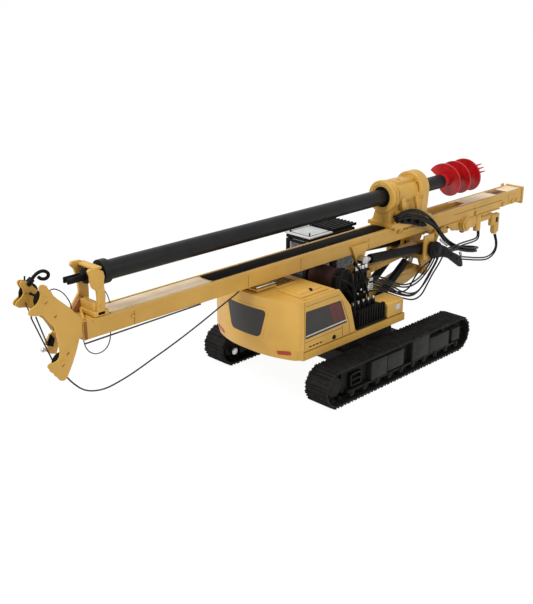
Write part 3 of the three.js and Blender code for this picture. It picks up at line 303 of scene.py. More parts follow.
HOIST_ROPE_R = 0.3
hoist_route = smooth_route([
    (-146.6, -4.9, 37.3), (-145.6, -4.9, 35.9), (-144.1, -4.9, 34.1), (-142.6, -4.8, 32.5),
    (-140.8, -4.8, 31), (-138.8, -4.7, 29.8), (-136.4, -4.6, 28.9), (-133.4, -4.4, 28.2),
    (-129.6, -4.2, 28), (-124.7, -4, 28.6), (-119.8, -3.8, 29.5), (-114.6, -3.6, 30.8),
    (-109, -3.3, 32.3), (-103, -3.1, 33.9), (-96.6, -2.8, 35.7), (-90, -2.5, 37.7),
    (-83, -2.2, 40), (-76.4, -1.9, 42.3), (-70.4, -1.7, 44.4), (-65.4, -1.5, 46.1), (-62, -1.4, 47.9),
])
hoist_line = tube("hoist_rope_line", hoist_route, HOIST_ROPE_R, thread, sides=8)
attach(hoist_line, "leader_mast")
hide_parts("hoist_rope")
run_of(hoist_route)

# ------------------------------------------------------------------ base hoses
# Seven strands of soft black rubber hang in a sagging bundle from silver ends on the
# deck to the black guard on the cradle.
RUBBER = tint(18, 17, 17)
RUBBER_WORN = tint(30, 29, 29)
rubber = coated(
    "hose_rubber", "hose_rubber", RUBBER, RUBBER_WORN, 0.42, lump=3, grain=0.2, depth=0.01, shine=0.12,
)
BASE_HOSE_R = 0.38
BASE_HOSE_Y = -12.4
BASE_HOSE_FOOT = (10, BASE_HOSE_Y, 33)      # a place near the strands' deck end
BASE_HOSE_HEAD = (50, BASE_HOSE_Y, 33)      # a place near the strands' end at the arm
# each strand's shift across the bundle, and its points along and up
BASE_STRANDS = [
    (-0.9, [
        (3.8, 37.2), (8, 36.8), (12.5, 35), (20.5, 31), (27.5, 26.9), (34.7, 24.3), (40.3, 24.3),
        (45.7, 27.5), (50.3, 32.1), (53.6, 35.6), (55.4, 39),
    ]),
    (-0.1, [
        (3.8, 36.2), (8, 35.6), (12.5, 33.7), (20.5, 29.9), (27.5, 25.8), (34.7, 23.2), (40.6, 23.4),
        (46.2, 27), (50.9, 31.8), (54.2, 35.4), (56.4, 38.8),
    ]),
    (0.8, [
        (3.8, 38.4), (9.5, 38), (15.5, 36), (20.3, 33.4), (25.9, 30.7), (31.5, 28.9), (37.1, 28.5),
        (42.7, 29.8), (48, 32.8), (51.6, 36.2), (53.8, 39.6),
    ]),
    (0.1, [
        (3.8, 37.6), (9.5, 37), (15.5, 34.7), (20.3, 32.2), (25.9, 29.6), (31.5, 27.9), (37.1, 27.5),
        (42.9, 29), (48.4, 32.2), (52.2, 35.8), (54.4, 39.2),
    ]),
    (-0.7, [
        (3.8, 33.2), (10.6, 31.4), (16, 29.3), (22.9, 26), (29.9, 22.9), (36, 20.8), (40.6, 20.7),
        (43.8, 22), (46.8, 25), (51.2, 29.8), (55.6, 33.6), (59.2, 37.6),
    ]),
    (0.7, [
        (3.8, 34.2), (10.6, 32.4), (16, 30.4), (22.9, 27.2), (29.9, 24.2), (36.4, 22.2), (41.4, 22.6),
        (45.4, 25), (50, 29.6), (54.4, 33.8), (57.6, 38),
    ]),
    (0.4, [
        (3.8, 35.2), (8.5, 34.1), (15.9, 31), (24.8, 27.2), (30.6, 26), (34.6, 26.9), (36.9, 29.2),
        (40.5, 32.4), (45.4, 35), (50.4, 36.6), (53.2, 39.4),
    ]),
]
for n, (shift_y, points) in enumerate(BASE_STRANDS):
    route = smooth_route([(x, BASE_HOSE_Y + shift_y, z) for x, z in points])
    line = tube(f"base_hose_{n + 1}", route, BASE_HOSE_R, rubber)
    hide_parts("base_hoses")
    run_of(route)
    at(*BASE_HOSE_FOOT)
    at(*BASE_HOSE_HEAD)
    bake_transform(line)

# ------------------------------------------------------------------ rotary head hoses
# Five rubber strands run down from the rotary head to a clamp on the mast's side. From
# the clamp they fan out, loop round under the mast and end at the guard on the cradle.
FEED_HOSE_POINTS = [
    (27.2, -8.6, 60.6), (31, -8.7, 61.6), (35.5, -8.8, 61.8), (40, -8.9, 61.2), (45, -9, 59.6),
    (50, -9.1, 57.2), (54, -9.3, 54.2), (57.4, -9.5, 50.8), (60.4, -9.8, 47.4), (64, -10.1, 43.9),
    (68.6, -10.2, 40.7), (74, -10.3, 38), (80, -10.2, 35.8), (86, -9.9, 34.1), (92, -9.2, 32.7),
    (97, -7.4, 31.6), (98.8, -4.6, 31), (96.6, -2, 31.2), (91.6, -0.8, 31.9), (85, -1.6, 33), (79, -4, 34),
    (73.4, -7.6, 35.4), (68.2, -10.8, 37), (63.6, -12.6, 38.6),
]
FEED_HOSE_R = [0.55, 0.5]     # of the strands before and after the clamp
CLAMP_STEP = 7          # the point that is clamped to the mast's side
# each strand's shift across and upwards, and how far it sags before the clamp and fans after it
FEED_STRANDS = [
    (0.5, 0.3, 0.9, 0.1), (-0.45, 0.4, 0.1, 0.3), (-0.1, -0.3, -0.9, 0.6), (0.3, -0.6, -2.4, -0.3),
    (-0.6, -0.7, -1.7, -0.6),
]
FAN_ALONG, FAN_UP = 1.4, 0.9
LIFT_LOST = 0.5         # share of the upward shift that is gone in the middle of the loop
TAIL_FOOT = (60, -10, 40)       # a place near the tail strands' cradle end
TAIL_HEAD = (60, -10, 49.5)     # a place near the clamp end, by the mast
for n, (across, lift, sag, fan) in enumerate(FEED_STRANDS):
    last = len(FEED_HOSE_POINTS) - 1
    strand_points = []
    for i, (x, y, z) in enumerate(FEED_HOSE_POINTS):
        before = math.sin(math.pi * min(i, CLAMP_STEP) / CLAMP_STEP)
        after = math.sin(math.pi * max(0, i - CLAMP_STEP) / (last - CLAMP_STEP))
        upwards = lift * (1 - LIFT_LOST * after) + sag * before + FAN_UP * fan * after
        strand_points.append((x + FAN_ALONG * fan * after, y + across, z + upwards))
    head_route = smooth_route(strand_points[:CLAMP_STEP + 1])
    tail_route = smooth_route(strand_points[CLAMP_STEP:])
    head_line = tube(f"rotary_hose_{n + 1}", head_route, FEED_HOSE_R[0], rubber)
    tail_line = tube(f"tail_hose_{n + 1}", tail_route, FEED_HOSE_R[1], rubber)
    for line, route, radius in zip((head_line, tail_line), (head_route, tail_route), FEED_HOSE_R):
        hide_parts("feed_hoses")
        run_of(route)
        2 * radius * MM
    clamped, held = at(*strand_points[CLAMP_STEP]), at(*strand_points[1])
    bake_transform(head_line)
    at(*TAIL_FOOT)
    at(*TAIL_HEAD)
    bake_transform(tail_line)

# ------------------------------------------------------------------ small winch hoses
# Two pairs of thin rubber strands leave the small winch's hollow legs from below and
# run back under the mast to the guard.
AUX_HOSE_R = 0.4
PAIR_GAP = 1.2                # between the strands of a pair
PAIR_TURN = 5                 # points in which the second strand turns below the first
WINCH_HOSE_FOOT = (66, -12.5, 38)       # a place near the strands' guard end
WINCH_HOSE_HEAD = (98, -6, 38)          # a place along the strands, under the mast
AUX_HOSE_LONG = [
    (118, -4.2, 34.2), (118.6, -4.4, 32.6), (119.2, -4.8, 30.4), (119, -5.2, 28.2), (117.6, -5.6, 26.4),
    (115, -6, 25.1), (111.6, -6.4, 24.5), (107.6, -6.9, 24.6), (103, -7.5, 25.4), (98, -8.2, 26.6),
    (92.6, -9, 28), (87, -9.8, 29.6), (81, -10.7, 31.3), (75, -11.6, 33.1), (69, -12.3, 35.2),
    (63.2, -12.9, 37),
]
AUX_HOSE_SHORT = [
    (101.5, -4.2, 39.5), (101.6, -4.4, 38.2), (101, -4.8, 37), (99.2, -5.4, 36.4), (96.6, -6, 36.5),
    (93, -6.8, 36.9), (89, -7.8, 37.5), (85, -8.8, 38.1), (81, -9.8, 38.7), (77, -10.8, 39.2),
    (73, -11.8, 39.6), (69, -12.6, 39.9), (65, -12.9, 40.1), (62.1, -12.9, 40.2),
]
# the second strand of each pair leaves in front of the first and turns to run below it
WINCH_PAIRS = []
for name, points in (("long", AUX_HOSE_LONG), ("short", AUX_HOSE_SHORT)):
    beside = []
    for n, (x, y, z) in enumerate(points):
        turn = math.pi / 2 * min(1, n / PAIR_TURN)
        beside.append((x + PAIR_GAP * math.cos(turn), y - 0.2, z - PAIR_GAP * math.sin(turn)))
    WINCH_PAIRS.append((f"{name}_winch_hose_1", points, f"aux_hose_{name}"))
    WINCH_PAIRS.append((f"{name}_winch_hose_2", beside, f"aux_hose_{name}"))
for name, points, node in WINCH_PAIRS:
    route = smooth_route(points)
    line = tube(name, route, AUX_HOSE_R, rubber)
    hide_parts(node)
    run_of(route)
    at(*WINCH_HOSE_FOOT)
    at(*WINCH_HOSE_HEAD)
    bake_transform(line)

# ------------------------------------------------------------------ car body and swing ring
# The undercarriage's hub is a grey casting with four arms that hold the track frames.
# The swing ring sits on it as a turned collar under the deck.
CAST_GREY = tint(34, 34, 33)
CAST_WORN = tint(46, 46, 45)
CAST_EDGE = 0.35
cast = coated(
    "cast_grey", "dark_grey_paint", CAST_GREY, CAST_WORN, 0.55, lump=6, grain=0.5, depth=0.03, shine=0.12,
)


def rounded(bm, parts, edge, steps=2, affect="EDGES"):
    """Rounds some edges of a mesh, or the corners of a sheet, to edge millimetres."""
    bmesh.ops.bevel(
        bm, geom=parts, offset=edge * MM, segments=steps, profile=0.5,
        affect=affect, clamp_overlap=True, material=-1,
    )


def soften(node, finish, edge, fold=28, shape=None):
    """A copy of a CAD node: its loose triangles merged, its long sharp edges rounded to edge millimetres.
    shape, if given, works on the merged copy first."""
    bm = bmesh.new()
    bm.from_mesh(frame["nodes"][node].data)
    bmesh.ops.remove_doubles(bm, verts=bm.verts, dist=0.002 * MM)
    bmesh.ops.dissolve_limit(bm, angle_limit=math.radians(1), verts=bm.verts, edges=bm.edges)
    if shape:
        shape(bm)
    sharp = [
        e for e in bm.edges
        if len(e.link_faces) == 2
        and e.calc_face_angle(0) > math.radians(fold)
        and e.calc_length() > 3 * edge * MM
    ]
    rounded(bm, sharp, edge)
    piece = show(bm, f"{node}_finished", finish)
    weigh = piece.modifiers.new("even_shading", "WEIGHTED_NORMAL")
    weigh.keep_sharp = True
    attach(piece, frame["nodes"][node]["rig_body"])
    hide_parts(node)
    return piece


for node in ("car_body", "swing_ring"):
    soften(node, cast, CAST_EDGE)

# ------------------------------------------------------------------ crawler tracks
# Each belt is moulded in matt black plastic: shoes with three sharp grousers outside
# and two rows of link humps inside, run round the sprocket and the idler.
SHOES = 51
SHOE_THICKNESS = 0.8
GROUSER_HEIGHT = 0.55
GROUSER_WIDTH = 0.42
GROUSER_DRAFT = (0.06, 0.08)    # how far its flanks lean out at the foot and in at the top
GROUSER_INSET = 0.35            # from a shoe's edge to the middle of its outer grousers
SHOE_GAP = 0.12                 # left free on each side of a shoe
BELT_INSET = 0.05               # of the grousers' tips from the CAD's plain belt
LINK_ROWS = (-1.9, 1.9)         # link humps, from the belt's middle line
LINK_SIZE = (2.7, 1.5, 1.3)     # along, across, inwards
LINK_TAPER = 0.4
shoes = coated(
    "track_plastic", "track_black", tint(22, 21, 20), tint(34, 33, 31), 0.65, lump=3, grain=0.25,
    depth=0.02, shine=0.12,
)


def extruded(bm, outline, across, finish_edge=0.0):
    """Adds a closed outline of points and sweeps it along a vector; its edges may be rounded."""
    face = bm.faces.new([bm.verts.new(p) for p in outline])
    swept = bmesh.ops.extrude_face_region(bm, geom=[face])["geom"]
    far = [v for v in swept if isinstance(v, bmesh.types.BMVert)]
    bmesh.ops.translate(bm, vec=across, verts=far)
    faces = list({f for v in far + list(face.verts) for f in v.link_faces})
    bmesh.ops.recalc_face_normals(bm, faces=faces)
    if finish_edge:
        edges = {e for f in faces for e in f.edges if e.calc_face_angle(0) > math.radians(25)}
        rounded(bm, list(edges), finish_edge)


def belt_stations(length, radius, count):
    """The place and heading of each shoe round the belt, in the plane of its side."""
    straight = length - 2 * radius
    whole = 2 * straight + math.tau * radius
    for n in range(count):
        run = whole * n / count
        if run < straight:
            yield run - straight / 2, 2 * radius, 0.0
        elif run < straight + math.pi * radius:
            turn = (run - straight) / radius
            yield straight / 2 + radius * math.sin(turn), radius + radius * math.cos(turn), turn
        elif run < 2 * straight + math.pi * radius:
            yield 1.5 * straight + math.pi * radius - run, 0.0, math.pi
        else:
            turn = (run - 2 * straight - math.pi * radius) / radius
            yield -straight / 2 - radius * math.sin(turn), radius - radius * math.cos(turn), math.pi + turn


def belt(side):
    """One crawler belt, its shoes set round the box of the CAD's plain belt."""
    low, high = (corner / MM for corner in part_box(f"track_{side}"))
    length, height = high.x - low.x, high.z - low.z
    middle = (low.x + high.x) / 2
    pitch = (2 * (length - height) + math.pi * height) / SHOES
    half = pitch / 2 - SHOE_GAP
    foot = GROUSER_WIDTH / 2 + GROUSER_DRAFT[0]
    top = GROUSER_WIDTH / 2 - GROUSER_DRAFT[1]
    shoe = [(-half, 0), (-half, -SHOE_THICKNESS), (half, -SHOE_THICKNESS), (half, 0)]
    for centre in (half - GROUSER_INSET, 0.0, GROUSER_INSET - half):
        shoe += [
            (centre + foot, 0), (centre + top, GROUSER_HEIGHT),
            (centre - top, GROUSER_HEIGHT), (centre - foot, 0),
        ]
    bm = bmesh.new()
    for x, z, turn in belt_stations(length, height / 2, SHOES):
        heading = Vector((math.cos(turn), 0, -math.sin(turn)))
        outward = Vector((math.sin(turn), 0, math.cos(turn)))
        root = Vector((middle + x, 0, z)) - outward * (GROUSER_HEIGHT + BELT_INSET)

        def spot(along, out, y):
            return (root + heading * along + outward * out + Vector((0, y, 0))) * MM

        extruded(bm, [spot(a, o, low.y) for a, o in shoe], Vector((0, (high.y - low.y) * MM, 0)))
        link_long, link_wide, link_deep = LINK_SIZE
        for row in LINK_ROWS:
            y = (low.y + high.y) / 2 + row - link_wide / 2
            hump = [
                (-link_long / 2, -SHOE_THICKNESS),
                (-link_long / 2 + LINK_TAPER, -SHOE_THICKNESS - link_deep),
                (link_long / 2 - LINK_TAPER, -SHOE_THICKNESS - link_deep),
                (link_long / 2, -SHOE_THICKNESS),
            ]
            extruded(bm, [spot(a, o, y) for a, o in hump], Vector((0, link_wide * MM, 0)))
    piece = show(bm, f"track_belt_{side}", shoes)
    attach(piece, "undercarriage")
    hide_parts(f"track_{side}")


for side in ("left", "right"):
    belt(side)
    soften(f"drive_sprocket_{side}", shoes, 0.15)
    soften(f"idler_wheel_{side}", shoes, 0.2)

# ------------------------------------------------------------------ track frames
# A black moulding fills each belt: a bottom rail with its rollers, a recessed web, and
# grey boxes that stand out to the belt's edge, the final drive's cap behind them.
FRAME_EDGE = 0.22
WEB_RECESS = 2.6        # how far the black web lies back from the boxes
FRAME_BOXES = [         # rear, front, bottom and top of each box
    (-21.5, -11.2, 5.6, 13.9), (-10.9, 0.3, 6.2, 13.6), (6.5, 18.6, 5.6, 15.2), (18.9, 33.8, 5.6, 12.6),
    (36.2, 42.2, 6.2, 12.2),
]
ROLLERS = [-33.5 + 8.2 * k for k in range(10)]      # bottom rollers, along
ROLLER_R = 1.35
ROLLER_Z = 3.9
TOP_ROLLERS = (-12, 12, 30)
REAR_BARS = [
    (-34, -27.2, 11.4, 12.1), (-34, -27.2, 8.9, 9.5), (-34, -27.2, 6.4, 7.0), (-27.7, -27, 6.4, 12.1),
    (-34, -33.3, 6.4, 12.1),
]
frame_black = coated(
    "frame_black", "dark_grey_paint", tint(16, 15, 14), tint(24, 23, 22), 0.55, lump=5, grain=0.3,
    depth=0.02, shine=0.12,
)


def drawn_box(node):
    """The two corners of a CAD node's box, counted as at() counts them."""
    shift = Vector((SLEWING_CENTRE[0] / MM, 0, 0))
    return [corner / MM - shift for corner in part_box(node)]


def block(bm, low, high, edge=0.2, bevel_steps=2):
    """Adds a box between two corners of the drawing, its edges rounded."""
    made = bmesh.ops.create_cube(bm, size=1)["verts"]
    low, high = at(*low), at(*high)
    bmesh.ops.scale(bm, vec=high - low, verts=made)
    bmesh.ops.translate(bm, vec=(low + high) / 2, verts=made)
    if edge:
        edges = {e for v in made for e in v.link_edges}
        rounded(bm, list(edges), edge, bevel_steps)


def rod(bm, start, end, radius, far_radius=None, sides=20, edge=0.12):
    """Adds a round bar or cone between two points of the drawing, its rims rounded."""
    start, end = at(*start), at(*end)
    turn = (end - start).to_track_quat("Z", "Y").to_matrix().to_4x4()
    made = bmesh.ops.create_cone(
        bm, cap_ends=True, segments=sides, radius1=radius * MM,
        radius2=(radius if far_radius is None else far_radius) * MM,
        depth=(end - start).length, matrix=Matrix.Translation((start + end) / 2) @ turn,
    )["verts"]
    rims = {e for v in made for e in v.link_edges if e.calc_face_angle(0) > math.radians(50)}
    if edge and rims:
        rounded(bm, list(rims), edge)


def build(bm, name, finish, body, *nodes):
    """Closes a new piece: its faces turned outwards, its finish, its body and the nodes it stands for."""
    bmesh.ops.recalc_face_normals(bm, faces=bm.faces)
    piece = show(bm, name, finish)
    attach(piece, body)
    if nodes:
        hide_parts(*nodes)
    return piece


for side, hand in (("left", 1), ("right", -1)):
    low, high = drawn_box(f"track_frame_{side}")
    outer = max(abs(low.y), abs(high.y))
    inner = min(abs(low.y), abs(high.y))

    def beside(x0, x1, y0, y1, z0, z1):
        ends = sorted((hand * y0, hand * y1))
        return (x0, ends[0], z0), (x1, ends[1], z1)

    bm = bmesh.new()
    block(bm, *beside(-38, 40, inner, outer - WEB_RECESS, 4.2, 13.2), 0.3)
    block(bm, *beside(-36, 41, outer - WEB_RECESS - 0.5, outer - 0.4, 4.3, 5.4), FRAME_EDGE)
    for x in ROLLERS:
        wheel = [(x, hand * (outer - inset), ROLLER_Z) for inset in (3, 0.2)]
        rod(bm, *wheel, ROLLER_R, sides=16)
        axle = [(x, hand * (outer - inset), ROLLER_Z) for inset in (0.4, -0.1)]
        rod(bm, *axle, 0.5, sides=12, edge=0.05)
    for x in TOP_ROLLERS:
        rod(bm, (x, hand * (outer - 4), 13.4), (x, hand * (outer - 1), 13.4), 1.0, sides=14)
    for x0, x1, z0, z1 in REAR_BARS:
        block(bm, *beside(x0, x1, outer - WEB_RECESS - 0.3, outer - 0.8, z0, z1), 0.12)
    build(bm, f"track_web_{side}", frame_black, "undercarriage", f"track_frame_{side}")
    bm = bmesh.new()
    for x0, x1, z0, z1 in FRAME_BOXES:
        block(bm, *beside(x0, x1, outer - WEB_RECESS - 0.4, outer, z0, z1), FRAME_EDGE)
    build(bm, f"track_boxes_{side}", cast, "undercarriage", f"track_frame_{side}")

# ------------------------------------------------------------------ track caps
# A bright turned cap is pressed into the drive's bore on the inner side of each track,
# and stands a little out of it.
SILVER = tint(214, 214, 212)
SILVER_DULL = tint(150, 150, 150)
silver = coated(
    "silver_fitting", "bright_metal", SILVER, SILVER_DULL, 0.28, lump=1.5, grain=0.2, depth=0.004,
    metallic=1.0,
)
CAP_X, CAP_Z, CAP_R = -42.6, 6.9, 1.6
track_inner = drawn_box("track_left")[0].y
bm = bmesh.new()
for side in (-1, 1):
    deep, proud = side * (track_inner + 1.5), side * (track_inner - 0.5)
    rod(bm, (CAP_X, deep, CAP_Z), (CAP_X, proud, CAP_Z), CAP_R, sides=24)
build(bm, "track_caps", silver, "undercarriage")

# ------------------------------------------------------------------ counterweight and deck
# The bodywork is die-cast and sprayed in golden yellow enamel. The counterweight is one
# bowed casting: its corners are faceted, and its skirt leans in below a crease.
ENAMEL = tint(206, 161, 76)
ENAMEL_WORN = tint(194, 150, 66)
SKIRT = 4.6              # height of the leaning skirt
SKIRT_LEAN = 1.7         # how far it leans in at the foot
CORNER_FACET = 3.2
enamel = coated(
    "yellow_enamel", "yellow_paint", ENAMEL, ENAMEL_WORN, 0.4, lump=14, grain=0.5, depth=0.008, coat=0.08,
)

weight_low, weight_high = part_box("counterweight")


def cut_across(bm, place, upright):
    """Cuts every face of a mesh that a plane crosses."""
    whole = list(bm.verts) + list(bm.edges) + list(bm.faces)
    bmesh.ops.bisect_plane(bm, geom=whole, dist=0.001 * MM, plane_co=place, plane_no=upright)


def shape_tail(bm):
    """Facets the casting's rear corners and leans its skirt in, the front face left as it is."""
    seam = weight_high.x - 0.4 * MM
    corners = [
        e for e in bm.edges
        if all(abs(v.co.y) > weight_high.y - 0.1 * MM and v.co.x < seam for v in e.verts)
        and abs(e.verts[0].co.z - e.verts[1].co.z) > 5 * MM
    ]
    rounded(bm, corners, CORNER_FACET, 3)
    cut_across(bm, (0, 0, weight_low.z + SKIRT * MM), (0, 0, 1))
    middle = Vector((weight_high.x, 0, 0))
    for v in bm.verts:
        if v.co.z < weight_low.z + 0.1 * MM and v.co.x < seam:
            inward = (middle - Vector((v.co.x, v.co.y, 0))).normalized()
            v.co += inward * SKIRT_LEAN * MM
            if abs(v.co.y) > weight_high.y - SKIRT_LEAN * MM:
                v.co.y *= 1 - SKIRT_LEAN * MM / weight_high.y


soften("counterweight", enamel, 0.7, fold=20, shape=shape_tail)
for node, edge in (("main_deck", 0.3), ("side_panel_left", 0.4), ("side_panel_right", 0.4)):
    soften(node, enamel, edge)

# ------------------------------------------------------------------ rear and side panels
# A bare dark panel lies in a raised yellow rim on the counterweight. Each side carries a
# dark print with a pale line and a deep red band, and two red lamps sit in the skirt.
PRINT_LIFT = 0.12
REAR_PANEL = [(-11.2, 39.6), (11.2, 39.6), (8.2, 27.8), (-8.2, 27.8)]   # across and up
REAR_RIM = 1.1
SIDE_PANEL = [(-50.2, 40.6), (-29.4, 40.2), (-25.2, 29.6), (-50.2, 29.0)]
SIDE_LINE = [(-50.0, 30.4), (-25.6, 31.0), (-25.4, 30.5), (-50.0, 29.9)]
SIDE_BAND = [(-37.2, 40.2), (-29.6, 40.0), (-26.4, 31.4), (-33.6, 31.3)]
LAMP_LIFT = 0.5
LAMP_PLACE = [(-21.2, 24.1), (-15.7, 23.4), (-15.7, 21.8), (-21.2, 22.4)]
printed = coated(
    "dark_print", "black_paint", tint(46, 43, 41), tint(40, 38, 37), 0.35, lump=4, grain=0.2, depth=0.003,
)
deep_red = coated(
    "deep_red_print", "red_paint", tint(92, 34, 32), tint(74, 30, 30), 0.35, lump=1.6, grain=0.2,
    depth=0.003,
)
pale_print = coated(
    "pale_print", "light_grey", tint(206, 204, 198), tint(190, 188, 184), 0.4, lump=4, grain=0.2,
    depth=0.003,
)
lamp_red = coated(
    "lamp_red", "red_paint", tint(176, 62, 34), tint(160, 48, 28), 0.2, lump=2, grain=0.2, depth=0.003,
)

BODY_HALF = weight_high.y / MM
TAIL_CORNER = -52.7             # how far back the casting's rear corners lie
BOW_CUTS = range(-20, 21, 2)    # where a plate is cut so that it can follow the bow
PLATE_ROOT = 0.3                # how deep a plate's back is sunk in the casting
SIDE_ROOT = 0.2                 # and in the side of the house
tail_centre = weight_low.x / MM - SLEWING_CENTRE[0] / MM
tail_rise = TAIL_CORNER - tail_centre
tail_radius = (BODY_HALF ** 2 + tail_rise ** 2) / (2 * tail_rise)


def tail_x(y):
    """How far back the bowed face of the counterweight lies, y from the middle."""
    return tail_centre + tail_radius - math.sqrt(tail_radius ** 2 - y ** 2)


def grown(outline, rim):
    """An outline moved outwards by rim, from its middle."""
    across = sum(p[0] for p in outline) / len(outline)
    up = sum(p[1] for p in outline) / len(outline)
    return [(a + math.copysign(rim, a - across), b + math.copysign(rim, b - up)) for a, b in outline]


def bowed_plate(outline, thickness, corner, name, finish):
    """A thin plate with rounded corners that follows the counterweight's bow, thickness proud of it."""
    bm = bmesh.new()
    face = bm.faces.new([bm.verts.new(at(0, y, z)) for y, z in outline])
    if corner:
        rounded(bm, list(face.verts), corner, 5, "VERTICES")
    for y in BOW_CUTS:
        cut_across(bm, (0, y * MM, 0), (0, 1, 0))
    swept = bmesh.ops.extrude_face_region(bm, geom=list(bm.faces))["geom"]
    front = [v for v in swept if isinstance(v, bmesh.types.BMVert)]
    for v in bm.verts:
        y, z = v.co.y / MM, v.co.z / MM
        tip = max(0.0, weight_low.z / MM + SKIRT - z) / SKIRT * SKIRT_LEAN
        v.co.x = at(tail_x(y) + tip, 0, 0).x
    for v in front:
        v.co.x -= thickness * MM
    for v in bm.verts:
        if v not in front:
            v.co.x += PLATE_ROOT * MM
    return build(bm, name, finish, "upper_carriage")


bowed_plate(grown(REAR_PANEL, REAR_RIM), PRINT_LIFT, 2.6, "rear_rim", enamel)
bowed_plate(REAR_PANEL, 2 * PRINT_LIFT, 1.9, "rear_print", printed)
bowed_plate(LAMP_PLACE, LAMP_LIFT, 0.3, "tail_lamp_right", lamp_red)
bowed_plate([(-y, z) for y, z in LAMP_PLACE], LAMP_LIFT, 0.3, "tail_lamp_left", lamp_red)


def edges_across(bm):
    """The edges that run across the rig, at the corners of an extruded outline."""
    return [e for e in bm.edges if abs(e.verts[0].co.y - e.verts[1].co.y) > 0.1 * MM]


def side_plate(outline, side, lift, corner, name, finish):
    """A thin plate on a side of the house, its outline in x and z."""
    y = side * BODY_HALF
    bm = bmesh.new()
    back = [at(x, y - side * SIDE_ROOT, z) for x, z in outline]
    extruded(bm, back, Vector((0, side * (lift + SIDE_ROOT) * MM, 0)))
    if corner:
        rounded(bm, edges_across(bm), corner, 4)
    return build(bm, name, finish, "upper_carriage")


for word, side in (("right", -1), ("left", 1)):
    side_plate(SIDE_PANEL, side, 0.08, 0.5, f"side_print_{word}", printed)
    side_plate(SIDE_BAND, side, 0.14, 0.0, f"side_band_{word}", deep_red)
    side_plate(SIDE_LINE, side, 0.14, 0.0, f"side_line_{word}", pale_print)

# ------------------------------------------------------------------ doors, seams and vents
# The side doors are outlined by pressed seams that are filled with a dark wash. Each
# side carries a round black plug and a row of four short vents.
seam_dark = coated(
    "seam_wash", "dark_grey_paint", tint(70, 50, 26), tint(60, 44, 24), 0.6, lump=3, grain=0.2, depth=0.002,
)
SEAM = 0.16
PLUG_X, PLUG_Z = -33, 25.2
VENTS = [-48 + 2.1 * k for k in range(4)]
SIDE_SEAMS = [
    ((-28.6, 40.4), (-23.6, 28.6)), ((-23.6, 28.6), (-23.4, 24.0)), ((-50.4, 27.6), (-28, 28.0)),
    ((-28.0, 29.0), (-27.6, 24.0)), ((-50.3, 42.8), (-30.2, 42.8)),
]
bm = bmesh.new()
for side in (-1, 1):
    y = side * (BODY_HALF + 0.02)
    for (x0, z0), (x1, z1) in SIDE_SEAMS:
        rod(bm, (x0, y, z0), (x1, y, z1), SEAM / 2, sides=6, edge=0)
build(bm, "side_seams", seam_dark, "upper_carriage")

satin_black = coated(
    "satin_black", "black_paint", tint(18, 17, 17), tint(28, 27, 26), 0.45, lump=5, grain=0.3, depth=0.012,
    shine=0.06,
)
bm = bmesh.new()
for side in (-1, 1):
    deep, proud = side * (BODY_HALF - 0.2), side * (BODY_HALF + 0.35)
    rod(bm, (PLUG_X, deep, PLUG_Z), (PLUG_X, proud, PLUG_Z), 1.1, 0.9)
    for x in VENTS:
        block(bm, (x, side * BODY_HALF - 0.12, 25), (x + 1.4, side * BODY_HALF + 0.12, 25.5), 0.05)
build(bm, "side_plugs", satin_black, "upper_carriage")

# ------------------------------------------------------------------ engine hood
# The yellow hood behind the winch carries two raised lids with small handles and a
# plain cover between them. Black slots are let into them; a black plug stands aside.
HOOD_TOP = drawn_box("engine_hood")[1].z
LIDS = [(-49.5, -33, -21.5, -8.5), (-49.5, -33, 8.5, 21.5)]     # rear, front, right and left
SLOTS = 7
HOOD_PLUG = (-41.5, -19.2)
soften("engine_hood", enamel, 0.5)
bm = bmesh.new()
for x0, x1, y0, y1 in LIDS:
    block(bm, (x0, y0, HOOD_TOP - 0.4), (x1, y1, HOOD_TOP + 0.8), 0.5, 3)
    block(bm, (x0 + 2, y0 + 2, HOOD_TOP + 0.4), (x1 - 2, y1 - 2, HOOD_TOP + 1.3), 0.4, 3)
    for x in (x0 + 3, x1 - 3):
        rod(bm, (x, y0 + 0.2, HOOD_TOP + 0.6), (x, y0 + 1.8, HOOD_TOP + 0.6), 0.35, sides=10, edge=0.05)
block(bm, (-47, -6.8, HOOD_TOP - 0.3), (-36, 6.8, HOOD_TOP + 0.5), 0.3)
build(bm, "hood_lids", enamel, "upper_carriage")
bm = bmesh.new()
for k in range(SLOTS):
    x = -45.6 + 1.5 * k
    block(bm, (x, -5.4, HOOD_TOP + 0.3), (x + 0.7, 5.4, HOOD_TOP + 0.62), 0.08)
    block(bm, (-46, 10.6 + 1.4 * k, HOOD_TOP + 1.2), (-37, 11.2 + 1.4 * k, HOOD_TOP + 1.42), 0.06)
x, y = HOOD_PLUG
rod(bm, (x, y, HOOD_TOP - 2), (x, y, HOOD_TOP + 0.7), 1.1, sides=18)
rod(bm, (x, y, HOOD_TOP + 0.6), (x + 0.9, y + 0.6, HOOD_TOP + 1.3), 0.8, sides=16)
build(bm, "hood_vents", satin_black, "upper_carriage")

# ------------------------------------------------------------------ handrails
# Three handrails are bent from dark wire and pushed into holes: one stands on the hood
# beside the winch, and two slant down in front of it.
RAIL_R = 0.42
RAILS = [
    [
        (-27.5, -22.5, 44.5), (-27.2, -22.6, 49.8), (-26, -22.8, 51.2), (-22, -23, 50.6),
        (-19.6, -23.2, 44), (-18.6, -23.4, 36), (-18.4, -23.5, 30),
    ],
    [
        (-22.6, -14.6, 46.2), (-20.4, -14.8, 45.4), (-11.6, -15, 40.1), (-10.2, -15, 37), (-7.4, -15, 26.4),
        (-6.6, -15, 21),
    ],
    [(-7, -14.8, 46.6), (-5.4, -14.9, 45.4), (0.1, -15, 34), (3.6, -15, 22.4)],
]
for n, points in enumerate(RAILS):
    railing = tube(f"handrail_{n + 1}", smooth_route(points, 0.8), RAIL_R, satin_black)
    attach(railing, "upper_carriage")

